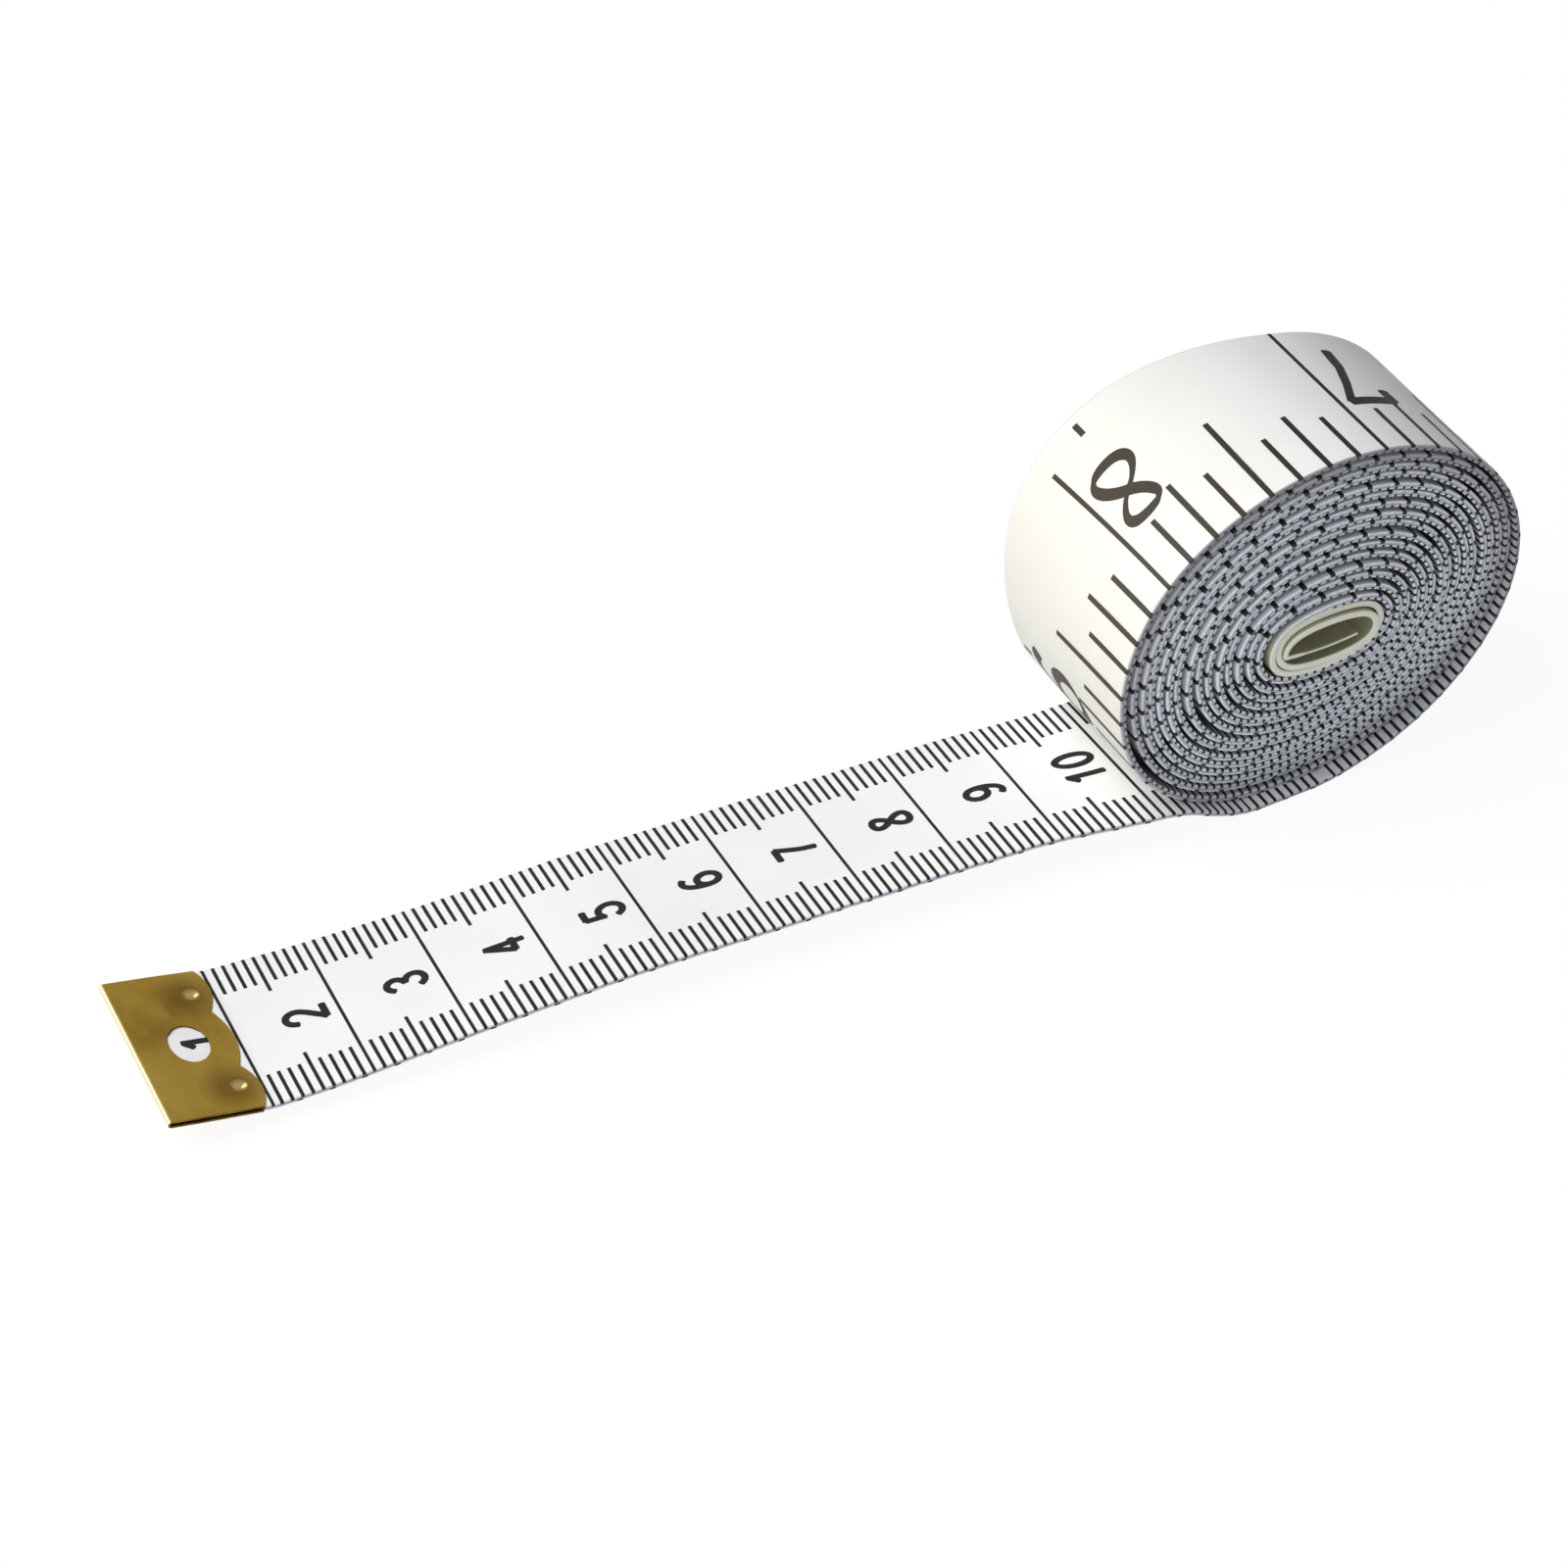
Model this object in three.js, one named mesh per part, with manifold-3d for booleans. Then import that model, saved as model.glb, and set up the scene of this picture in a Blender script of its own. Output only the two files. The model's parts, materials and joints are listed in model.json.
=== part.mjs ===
// Cloth tape measure: a printed tape wound into an oval roll, with about 100 mm of it drawn out
// and a folded brass clip on each end. Millimetres, +Z up. The roll stands on its lowest stretch
// at the origin and is turned a little on the drawn-out run, which points to -X.
import * as THREE from 'three';
import { mergeVertices } from 'three/addons/utils/BufferGeometryUtils.js';
import Module from 'manifold-3d';

const wasm = await Module();
wasm.setup();

// Tape
const TAPE_LENGTH = 1524;
const TAPE_WIDTH = 20;
const TAPE_THICKNESS = 0.4;

// Winding of the roll, from the outermost turn to the slot that the first turns leave
const LEAST_TURN_GAP = 0.405;
const MOST_TURNS = 24;
const STEPS_PER_TURN = 24;
const OUTER_LONG = 6.4;
const OUTER_SHORT = 3.4;
const OUTER_TILT = 12;
const OUTER_THREE_LOBE = 0.33;
const SLOT_SHORT = 0.15;
const SLOT_TILT = -1.5;
const SLOT_CLEARANCE = 0.65;
const ROLL_TURN = 4.9;
const ROLL_SET_BACK = 1.6;
const SET_BACK_FROM = 125;
const SET_BACK_TO = 168;

// Drawn-out run
const RUN_LENGTH = 100;
const PEEL_STEPS = 1.5;
const PEEL_LENGTH = 1.6;
const ARCH_RADIUS = 10;
const ARCH_STEPS = 4;
const FLOOR_GAP = 0.05;
const FIRST_RISE = 2.1;
const FIRST_RISE_FROM = 16;
const FIRST_RISE_TO = 50;
const SECOND_RISE_FROM = 36;
const SECOND_RISE_TO = 90;

// Bends of the run: each is where one stiff length of tape turns on the next
const BEND_COUNT = 4;
const FIRST_BEND_FROM_ARCH = 6.5;
const BEND_PITCH = 22;
const BEND_GAP = 0.3;
const LINK_STEPS = 4;

// Brass clips
const CLIP_SHEET = 0.25;
const CLIP_CLEARANCE = 0.2;
const CLIP_LENGTH = 10.4;
const CLIP_TILT = 11;
const INNER_CLIP_LENGTH = 8.4;
const CLIP_NOTCH_PLACE = 3.9;
const CLIP_NOTCH_DEPTH = 1.1;
const CLIP_CORNER_CUT = 1.3;
const WINDOW_PLACE = 5.5;
const WINDOW_LENGTH = 3.8;
const WINDOW_WIDTH = 5.2;
const DIMPLE_PLACE = 8.2;
const DIMPLE_SPREAD = 6.5;
const DIMPLE_DIAMETER = 1.9;
const DIMPLE_DEPTH = 0.12;
const ARC_STEPS = 10;

const radians = THREE.MathUtils.degToRad;
const mix = THREE.MathUtils.lerp;
const smooth = THREE.MathUtils.smoothstep;
const vertical = new THREE.Vector3(0, 0, 1);
const clipThickness = TAPE_THICKNESS + 2 * (CLIP_CLEARANCE + CLIP_SHEET);
const peelAngle = (PEEL_STEPS * 2 * Math.PI) / STEPS_PER_TURN;

const printedCloth = (name) => new THREE.MeshStandardMaterial({ name, color: 0xeceef0, roughness: 0.55 });
const brass = new THREE.MeshStandardMaterial({ name: 'brass', color: 0x9a7a34, roughness: 0.35, metalness: 1 });

// Solids
function solidFrom(geometry) {
  const bare = geometry.index ? geometry.toNonIndexed() : geometry.clone();
  bare.deleteAttribute('normal');
  bare.deleteAttribute('uv');
  const merged = mergeVertices(bare, 1e-4);
  const vertProperties = Float32Array.from(merged.attributes.position.array);
  const triVerts = Uint32Array.from(merged.index.array);
  return new wasm.Manifold(new wasm.Mesh({ numProp: 3, vertProperties, triVerts }));
}

function geometryFrom(solid) {
  const mesh = solid.getMesh();
  const geometry = new THREE.BufferGeometry();
  geometry.setAttribute('position', new THREE.Float32BufferAttribute(mesh.vertProperties, 3));
  geometry.setIndex(Array.from(mesh.triVerts));
  geometry.computeVertexNormals();
  return geometry;
}

// A strip of tape along a middle line in the XZ plane, with mitred corners. Each point carries
// the tape's side shift there and its turn about the vertical through the origin.
function stripGeometry(line) {
  const corners = [];
  line.forEach((point, i) => {
    const before = line[Math.max(i - 1, 0)];
    const after = line[Math.min(i + 1, line.length - 1)];
    const into = new THREE.Vector2(point.x - before.x, point.z - before.z).normalize();
    const out = new THREE.Vector2(after.x - point.x, after.z - point.z).normalize();
    const heading = into.clone().add(out).normalize();
    const square = i === 0 ? out : into;
    const reach = TAPE_THICKNESS / 2 / heading.dot(square);
    const side = new THREE.Vector2(heading.y, -heading.x).multiplyScalar(reach);
    for (const [face, edge] of [[1, -1], [1, 1], [-1, 1], [-1, -1]]) {
      const across = point.shift + (edge * TAPE_WIDTH) / 2;
      const corner = new THREE.Vector3(point.x + face * side.x, across, point.z + face * side.y);
      corners.push(...corner.applyAxisAngle(vertical, point.turn));
    }
  });
  const faces = [];
  const quad = (a, b, c, d) => faces.push(a, b, c, a, c, d);
  for (let i = 0; i < line.length - 1; i += 1) {
    for (let k = 0; k < 4; k += 1) {
      const next = (k + 1) % 4;
      quad(4 * i + k, 4 * i + next, 4 * (i + 1) + next, 4 * (i + 1) + k);
    }
  }
  const last = 4 * (line.length - 1);
  quad(3, 2, 1, 0);
  quad(last, last + 1, last + 2, last + 3);
  const geometry = new THREE.BufferGeometry();
  geometry.setAttribute('position', new THREE.Float32BufferAttribute(corners, 3));
  geometry.setIndex(faces);
  geometry.computeVertexNormals();
  return geometry;
}

// Winding. The turn's tangent lies at distance reach() from the roll's centre, square to the
// direction psi, so turns one revolution apart are parallel and their gap is a plain difference.
const slotRadius = clipThickness / 2 + SLOT_CLEARANCE + TAPE_THICKNESS / 2;
const slotLong = (INNER_CLIP_LENGTH + SLOT_CLEARANCE + TAPE_THICKNESS / 2 - slotRadius) / 2;
const leaveAngle = -Math.PI / 2 - peelAngle;
const lastTurnStart = Math.PI / 2 + radians(SLOT_TILT);
const foldTurn = Math.PI - (2 * Math.PI) / STEPS_PER_TURN;

function windingFor(turns, outerRadius) {
  const sweep = lastTurnStart - leaveAngle + 2 * Math.PI * (turns - 1);
  const reach = (angle) => {
    const inward = Math.min(angle / sweep, 1);
    const fold = smooth(angle, sweep, sweep + Math.PI);
    const psi = leaveAngle + angle;
    const turned = psi - radians(mix(OUTER_TILT, SLOT_TILT, inward));
    const long = mix(OUTER_LONG, slotLong, inward) * Math.cos(turned);
    const short = mix(OUTER_SHORT, SLOT_SHORT, inward) * Math.sin(turned);
    const lobes = OUTER_THREE_LOBE * (1 - inward) * Math.cos(3 * psi);
    return mix(outerRadius, slotRadius, inward) * (1 - fold) + Math.hypot(long, short) + lobes;
  };
  const point = (angle) => {
    const step = 1e-4;
    const slope = (reach(angle + step) - reach(angle - step)) / (2 * step);
    const psi = leaveAngle + angle;
    const x = reach(angle) * Math.cos(psi) - slope * Math.sin(psi);
    const z = reach(angle) * Math.sin(psi) + slope * Math.cos(psi);
    return { x, z };
  };
  const stepAngle = (2 * Math.PI) / STEPS_PER_TURN;
  const line = [];
  const stepCount = Math.round(sweep / stepAngle);
  for (let i = 0; i <= stepCount; i += 1) {
    line.push(point((i * sweep) / stepCount));
  }
  const foldCount = Math.round(foldTurn / stepAngle);
  for (let i = 1; i <= foldCount; i += 1) {
    line.push(point(sweep + (i * foldTurn) / foldCount));
  }
  const axis = { x: Math.cos(radians(SLOT_TILT)), z: Math.sin(radians(SLOT_TILT)) };
  const foldEnd = line[line.length - 1];
  const flap = INNER_CLIP_LENGTH - CLIP_SHEET - CLIP_CLEARANCE;
  line.push({ x: foldEnd.x + flap * axis.x, z: foldEnd.z + flap * axis.z });
  return line;
}

function lengthOf(line) {
  let length = 0;
  for (let i = 1; i < line.length; i += 1) {
    length += Math.hypot(line[i].x - line[i - 1].x, line[i].z - line[i - 1].z);
  }
  return length;
}

// Least clear distance between the tape and itself, measured from points along the middle line
// to every stretch that is at least half a turn further on.
function leastGap(line) {
  let least = Infinity;
  for (let i = 0; i < line.length - 1; i += 1) {
    const mid = { x: (line[i].x + line[i + 1].x) / 2, z: (line[i].z + line[i + 1].z) / 2 };
    for (const place of [line[i], mid]) {
      for (let j = i + STEPS_PER_TURN / 2; j < line.length - 1; j += 1) {
        const run = { x: line[j + 1].x - line[j].x, z: line[j + 1].z - line[j].z };
        const to = { x: place.x - line[j].x, z: place.z - line[j].z };
        const share = (to.x * run.x + to.z * run.z) / (run.x * run.x + run.z * run.z);
        const near = Math.min(Math.max(share, 0), 1);
        least = Math.min(least, Math.hypot(to.x - near * run.x, to.z - near * run.z));
      }
    }
  }
  return least - TAPE_THICKNESS;
}

// The roll holds what the run leaves of the tape, so its outside follows from the length. It has
// as many turns as keep the least gap.
const peelTotal = PEEL_LENGTH + ARCH_RADIUS * peelAngle;
const woundLength = TAPE_LENGTH - RUN_LENGTH - peelTotal;

function windTape() {
  for (let turns = MOST_TURNS; turns > 2; turns -= 1) {
    let low = slotRadius;
    let high = TAPE_LENGTH;
    for (let i = 0; i < 40; i += 1) {
      const middle = (low + high) / 2;
      const tooLong = lengthOf(windingFor(turns, middle)) > woundLength;
      if (tooLong) {
        high = middle;
      } else {
        low = middle;
      }
    }
    const line = windingFor(turns, low);
    const gap = leastGap(line);
    if (gap >= LEAST_TURN_GAP) {
      return { line, gap, turns };
    }
  }
  throw new Error('no winding keeps the least gap between its turns');
}

const winding = windTape();

// The stretch under the roll lies flat on the table, with its middle at the origin
const flatStart = winding.line[Math.floor(PEEL_STEPS)];
const flatEnd = winding.line[Math.ceil(PEEL_STEPS)];
const rollPlace = {
  x: -(flatStart.x + flatEnd.x) / 2,
  z: TAPE_THICKNESS / 2 - (flatStart.z + flatEnd.z) / 2,
};
flatStart.z = (flatStart.z + flatEnd.z) / 2;
flatEnd.z = flatStart.z;
for (const point of winding.line) {
  point.x += rollPlace.x;
  point.z += rollPlace.z;
}

// Run: straight off the roll, over a small arch, then falling to the table at the clip
const leave = winding.line[0];
const archEnd = {
  x: leave.x - PEEL_LENGTH * Math.cos(peelAngle),
  z: leave.z + PEEL_LENGTH * Math.sin(peelAngle),
};
const archStart = {
  x: archEnd.x - ARCH_RADIUS * Math.sin(peelAngle),
  z: archEnd.z + ARCH_RADIUS * (1 - Math.cos(peelAngle)),
};
const freeEnd = archStart.x - RUN_LENGTH;
const seat = FLOOR_GAP + clipThickness / 2;

function runPoint(distance) {
  const first = FIRST_RISE * smooth(distance, FIRST_RISE_FROM, FIRST_RISE_TO);
  const second = (archStart.z - seat - FIRST_RISE) * smooth(distance, SECOND_RISE_FROM, SECOND_RISE_TO);
  const tip = Math.max(CLIP_LENGTH - distance, 0) * Math.tan(radians(CLIP_TILT));
  return { x: freeEnd + distance, z: seat + first + second + tip, shift: 0, turn: 0 };
}

function runLine(from, to, steps) {
  const line = [];
  for (let i = 0; i <= steps; i += 1) {
    line.push(runPoint(mix(from, to, i / steps)));
  }
  return line;
}

const firstBend = RUN_LENGTH - FIRST_BEND_FROM_ARCH;
const bends = Array.from({ length: BEND_COUNT }, (_, i) => firstBend - i * BEND_PITCH);

// Stub of the run between the first bend and the roll, which turns into the roll's direction
const rollLine = runLine(firstBend + BEND_GAP / 2, RUN_LENGTH, 2);
for (let i = 1; i <= ARCH_STEPS; i += 1) {
  const slope = (i * peelAngle) / ARCH_STEPS;
  const x = archStart.x + ARCH_RADIUS * Math.sin(slope);
  const z = archStart.z - ARCH_RADIUS * (1 - Math.cos(slope));
  rollLine.push({ x, z, shift: 0 });
}
const stubEnd = rollLine[0].x;
for (const point of rollLine) {
  point.turn = radians(ROLL_TURN) * smooth(point.x, stubEnd, leave.x);
}

// Roll, whose outermost turn drifts back to the face of the others
let tapeSoFar = RUN_LENGTH + peelTotal;
winding.line.forEach((point, i) => {
  const before = winding.line[Math.max(i - 1, 0)];
  tapeSoFar += Math.hypot(point.x - before.x, point.z - before.z);
  const shift = ROLL_SET_BACK * smooth(tapeSoFar, SET_BACK_FROM, SET_BACK_TO);
  rollLine.push({ x: point.x, z: point.z, shift, turn: radians(ROLL_TURN) });
});

// Clip of folded sheet. Local frame: the fold at x = 0, the tape entering along +x, the tape's
// middle at z = 0.
function clipSection(length) {
  const outer = clipThickness / 2;
  const inner = outer - CLIP_SHEET;
  const section = new THREE.Shape();
  section.moveTo(length, -outer);
  section.lineTo(length, -inner);
  section.lineTo(outer, -inner);
  section.absarc(outer, 0, inner, -Math.PI / 2, Math.PI / 2, true);
  section.lineTo(length, inner);
  section.lineTo(length, outer);
  section.lineTo(outer, outer);
  section.absarc(outer, 0, outer, Math.PI / 2, (3 * Math.PI) / 2, false);
  section.closePath();
  return section;
}

function foldedSheet(length) {
  const settings = { depth: TAPE_WIDTH, bevelEnabled: false, curveSegments: ARC_STEPS };
  const folded = new THREE.ExtrudeGeometry(clipSection(length), settings);
  folded.rotateX(Math.PI / 2);
  folded.translate(0, TAPE_WIDTH / 2, 0);
  return folded;
}

function plate(outline, height, bottom) {
  const settings = { depth: height, bevelEnabled: false, curveSegments: ARC_STEPS };
  const geometry = new THREE.ExtrudeGeometry(outline, settings);
  geometry.translate(0, 0, bottom);
  return solidFrom(geometry);
}

// Rear edge in three lobes, a broad one between two narrow ones
function scallopedOutline() {
  const half = TAPE_WIDTH / 2;
  const rear = CLIP_LENGTH - CLIP_CORNER_CUT;
  const notch = CLIP_LENGTH - CLIP_NOTCH_DEPTH;
  const lobe = 2 * CLIP_LENGTH - notch;
  const outline = new THREE.Shape();
  outline.moveTo(-clipThickness, -half);
  outline.lineTo(rear, -half);
  outline.quadraticCurveTo(lobe, -(half + CLIP_NOTCH_PLACE) / 2, notch, -CLIP_NOTCH_PLACE);
  outline.quadraticCurveTo(lobe, 0, notch, CLIP_NOTCH_PLACE);
  outline.quadraticCurveTo(lobe, (half + CLIP_NOTCH_PLACE) / 2, rear, half);
  outline.lineTo(-clipThickness, half);
  outline.closePath();
  return outline;
}

function windowOutline() {
  const outline = new THREE.Shape();
  outline.absellipse(WINDOW_PLACE, 0, WINDOW_LENGTH / 2, WINDOW_WIDTH / 2, 0, 2 * Math.PI);
  return outline;
}

// Round dent pressed into the sheet from outside
function dimple(side, face) {
  const rim = DIMPLE_DIAMETER / 2;
  const radius = (rim * rim + DIMPLE_DEPTH * DIMPLE_DEPTH) / (2 * DIMPLE_DEPTH);
  const outline = new THREE.Shape();
  const opening = Math.asin(rim / radius);
  outline.absarc(0, radius - DIMPLE_DEPTH, radius, -Math.PI / 2, -Math.PI / 2 + opening, false);
  const profile = outline.getPoints(ARC_STEPS / 2);
  profile.push(new THREE.Vector2(rim, CLIP_SHEET));
  profile.push(new THREE.Vector2(0, CLIP_SHEET));
  profile[0].x = 0;
  const dent = new THREE.LatheGeometry(profile, 2 * ARC_STEPS);
  dent.rotateX(face * (Math.PI / 2));
  dent.translate(DIMPLE_PLACE, side * DIMPLE_SPREAD, (face * clipThickness) / 2);
  return solidFrom(dent);
}

function freeClipGeometry() {
  const height = 2 * clipThickness;
  let clip = solidFrom(foldedSheet(CLIP_LENGTH));
  clip = clip.intersect(plate(scallopedOutline(), height, -height / 2));
  clip = clip.subtract(plate(windowOutline(), height, 0));
  for (const side of [-1, 1]) {
    for (const face of [-1, 1]) {
      clip = clip.subtract(dimple(side, face));
    }
  }
  return geometryFrom(clip);
}

// Assembly
const tapeMeasure = new THREE.Group();
tapeMeasure.name = 'cloth_tape_measure';

function addPiece(name, geometry, material, parent) {
  const piece = new THREE.Mesh(geometry, material);
  piece.name = name;
  parent.add(piece);
  return piece;
}

addPiece('tape_roll', stripGeometry(rollLine), printedCloth('tape_roll_cloth'), tapeMeasure);

const tapeEnd = CLIP_SHEET + CLIP_CLEARANCE;

// The last length is straight inside the clip and follows the table behind it
function endLine(from, to) {
  return [runPoint(from), ...runLine(CLIP_LENGTH, to, LINK_STEPS)];
}

bends.forEach((bend, i) => {
  const from = i + 1 < BEND_COUNT ? bends[i + 1] + BEND_GAP / 2 : tapeEnd;
  const to = bend - BEND_GAP / 2;
  const line = i + 1 < BEND_COUNT ? runLine(from, to, LINK_STEPS) : endLine(from, to);
  addPiece(`tape_run_${i + 1}`, stripGeometry(line), printedCloth(`tape_run_${i + 1}_cloth`), tapeMeasure);
});

const freeClipPlace = new THREE.Group();
freeClipPlace.position.set(freeEnd, 0, runPoint(0).z);
freeClipPlace.rotation.y = radians(CLIP_TILT);
tapeMeasure.add(freeClipPlace);
addPiece('free_end_clip', freeClipGeometry(), brass.clone(), freeClipPlace);

const innerEnd = rollLine[rollLine.length - 1];
const innerClipPlace = new THREE.Group();
innerClipPlace.position.set(
  innerEnd.x + tapeEnd * Math.cos(radians(SLOT_TILT)),
  innerEnd.shift,
  innerEnd.z + tapeEnd * Math.sin(radians(SLOT_TILT)),
);
innerClipPlace.rotation.y = Math.PI - radians(SLOT_TILT);
const turnedRoll = new THREE.Group();
turnedRoll.rotation.z = radians(ROLL_TURN);
turnedRoll.add(innerClipPlace);
tapeMeasure.add(turnedRoll);
addPiece('inner_end_clip', foldedSheet(INNER_CLIP_LENGTH), brass.clone(), innerClipPlace);

console.log(`roll: ${winding.turns} turns, least gap between turns ${winding.gap.toFixed(3)} mm`);
console.log(`tape: ${(RUN_LENGTH + peelTotal + lengthOf(winding.line)).toFixed(1)} mm long`);
bends.forEach((bend, i) => {
  const place = runPoint(bend);
  console.log(`bend ${i + 1}: x ${place.x.toFixed(3)}, z ${place.z.toFixed(3)} mm`);
});

export default tapeMeasure;
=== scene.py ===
# Cloth tape measure: an oval roll of printed tape, a drawn-out run and a folded brass clip on each
# end. Tape space is (s, y, n) in millimetres: s along the tape from its free end, y across it from
# the middle, n out of its middle layer towards the centimetre face. Meshes are made in metres.
import json
import math

import bpy
import numpy as np
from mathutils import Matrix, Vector
from mathutils.geometry import delaunay_2d_cdt


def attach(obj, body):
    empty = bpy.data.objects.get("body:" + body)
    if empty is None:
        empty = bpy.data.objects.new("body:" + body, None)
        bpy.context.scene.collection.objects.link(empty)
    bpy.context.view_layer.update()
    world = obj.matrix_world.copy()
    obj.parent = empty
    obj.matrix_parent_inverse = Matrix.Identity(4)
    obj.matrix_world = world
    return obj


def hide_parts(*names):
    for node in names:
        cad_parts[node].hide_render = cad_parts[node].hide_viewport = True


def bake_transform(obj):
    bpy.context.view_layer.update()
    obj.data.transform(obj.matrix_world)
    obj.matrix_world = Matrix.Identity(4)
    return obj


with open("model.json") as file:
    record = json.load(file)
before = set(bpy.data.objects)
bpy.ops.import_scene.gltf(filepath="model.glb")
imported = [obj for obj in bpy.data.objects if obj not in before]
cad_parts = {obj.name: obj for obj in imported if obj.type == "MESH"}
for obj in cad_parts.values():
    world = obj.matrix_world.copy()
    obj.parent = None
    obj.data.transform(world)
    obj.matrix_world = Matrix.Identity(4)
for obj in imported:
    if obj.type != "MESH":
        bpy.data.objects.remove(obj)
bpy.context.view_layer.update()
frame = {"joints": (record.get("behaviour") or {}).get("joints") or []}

MM = 0.001
INCH = 25.4

# Tape
TAPE_LENGTH = 60 * INCH
TAPE_WIDTH = 20.0
TAPE_THICKNESS = 0.55
EDGE_ROUND, EDGE_CORNER = 0.1, 0.3
FACE_PITCH = 2.5
HALF_WIDTH = TAPE_WIDTH / 2
HALF_THICKNESS = TAPE_THICKNESS / 2
REST_HEIGHT = HALF_THICKNESS + 0.01

# Winding: the turn's tangent lies at distance reach() from the roll's centre, square to psi
TURNS = 18
LEAVE = math.radians(-112.5)
LAST_TURN_START = math.radians(88.5)
SWEEP = LAST_TURN_START - LEAVE + 2 * math.pi * (TURNS - 1)
FOLD_TURN, FOLD_DELAY = math.radians(165), 0.7
ROLL_RADIUS = 16.54
OUTER_LONG, OUTER_SHORT, OUTER_TILT, THREE_LOBE = 6.4, 3.4, 12.0, 0.33
SLOT_RADIUS, SLOT_LONG, SLOT_SHORT, SLOT_TILT = 0.87, 3.65, 0.75, -1.5
LAST_TURNS_PRESS, PRESS_FADE = (0.36, 0.21), (-2.0, 0.3)
TOP_PRESS, TOP_PRESS_SPAN = 0.12, 0.45
SLOT_SHIFT = (0.3, -0.3)
FOLD_REACH, FLAP_LENGTH, FLAP_SAG = 0.25, 8.4, 0.3
FLAT_ANGLES = (math.radians(15), math.radians(30))
CAD_THICKNESS = 0.4
ROLL_TURN = math.radians(4.9)
TURN_FROM, TURN_TO = 86.0, 108.0
SET_BACK, SET_BACK_FROM, SET_BACK_TO = 1.6, 125.0, 168.0
EDGE_DRIFT, DRIFT_PER_TURN = 0.16, 0.618
TURN_SWELL, SWELL_FADE = 1.24, 60.0
FLAP_PRESS, FLAP_PRESS_FADE = 0.8, (-3.0, 1.0)
UNEVEN, UNEVEN_PITCH, UNEVEN_FADE = 0.05, 23.0, (-70.0, -35.0)
DOME, DOME_POWER = 2.0, 1.6
# Loose places: turn, direction in degrees and gap
LOOSE_TURNS = [(2, -172, 0.34), (3, -95, 0.26), (6, -55, 0.28), (9, -120, 0.22)]
LOOSE_SPAN, LOOSE_DEPTH = 1.1, 4
FLARE, FLARE_TURNS = 3.3, 5.0
FLARE_FROM, FLARE_PEAK, FLARE_TO = math.radians(188), math.radians(240), math.radians(312)

# Drawn-out run
RUN_LENGTH = 100.0
PEEL_LENGTH = 1.6
ARCH_RADIUS = 10.0
PEEL_ANGLE = math.radians(22.5)
SEAT, CLIP_TILT = 0.7, math.radians(11)
FIRST_RISE, FIRST_RISE_SPAN, SECOND_RISE_SPAN = 2.1, (16, 50), (36, 90)
END_LIFT, END_LIFT_SPAN = 0.56, (20, 42)
LEAN, END_LEAN, LEAN_GROWS, LEAN_FADES = math.radians(7.8), 0.3, (2, 38), (88, 114)
CLIP_LENGTH = 10.4

# Points along the path
RUN_STEPS, PEEL_STEPS, ARCH_STEPS, FLAP_STEPS = 400, 8, 40, 40
COIL_POINTS = TURNS * 240

# Print
MM_TICK, HALF_CM_TICK, MM_TICK_WIDTH, CM_LINE_WIDTH = 4.0, 5.3, 0.35, 0.32
INCH_TICKS = {1: 6.4, 2: 8.0, 4: 11.2}
INCH_TICK_WIDTH, INCH_LINE_WIDTH = 0.55, 0.46
CM_START, CM_END, FIRST_EIGHTH, INCH_END = 10, 1450, 4, 1450
CM_DIGIT, CM_PEN, CM_DIGIT_PITCH = (2.5, 4.6), 0.72, 2.8
INCH_DIGIT, INCH_DIGIT_MIDDLE = (6.2, 9.5), 2.1
NIB_THICK, NIB_THIN, NIB_ANGLE = 1.6, 0.45, math.radians(40)
ROUND_DIGIT, ROUND_DIGIT_MIDDLE, ROUND_THICK = (5.2, 7.6), 0.8, 1.15
SHORT_LINE_INCH, SHORT_LINE_END = 8, 7.6
STRAY_MARKS, STRAY_MARK_ENDS = (8, 9), (7.8, 9.1)
STRAY_MARK_TO_LINE = 4.2
DIGIT_TO_LINE = 1.0
STROKE_STEP, STROKE_END, FIGURE_PITCH, INCH_INSET = 0.3, 0.4, 0.8, 0.9
INK_RAISE, INK_SINK, INK_BLEED = 0.02, 0.03, 0.12

# Clips
CLIP_REAR = 9.78
CLIP_SHEET, CLIP_INSIDE = 0.2, 0.17
CLIP_MIDDLE = CLIP_INSIDE + CLIP_SHEET / 2
FOLD_LENGTH = math.pi * CLIP_MIDDLE
NOTCH_PLACE, NOTCH_DEPTH, CORNER_CUT = 4.0, 0.95, 0.6
WINDOW_PLACE, WINDOW_LENGTH, WINDOW_WIDTH = 5.35, 3.8, 5.2
DIMPLE_PLACE, DIMPLE_SPREAD, DIMPLE_RADIUS, DIMPLE_DEPTH, DIMPLE_RIM = 7.75, 6.7, 0.95, 0.4, 0.1
CLIP_NARROWS, NARROW_FADE = 0.46, (-0.95, -0.6)
CLIP_SQUEEZE, SQUEEZE_FADE, INNER_SQUEEZE_FADE = 0.42, (-0.9, -0.4), (-0.4, 0.0)
WINDOW_EASE_S, WINDOW_EASE_Y = (1.9, 2.4), (2.6, 3.4)
INNER_CLIP_LENGTH, INNER_CLIP_WIDTH = 6.6, 15.5

# Shape of a dimple in shares of its radius, and corners of the clips' meshes
DIMPLE_FLAT, RIM_PLACE, RIM_SPAN, DIMPLE_RINGS = 0.15, 1.15, 0.35, (0.12, 1.6, 11)
CLIP_STEP, FOLD_STEPS, ACROSS_STEPS, LOBE_STEPS = 0.4, 8, 40, 12
WINDOW_CORNERS, DIMPLE_CORNERS = 48, 24


def smooth(x, low, high):
    t = np.clip((np.asarray(x, float) - low) / (high - low), 0, 1)
    return t * t * (3 - 2 * t)


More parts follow.
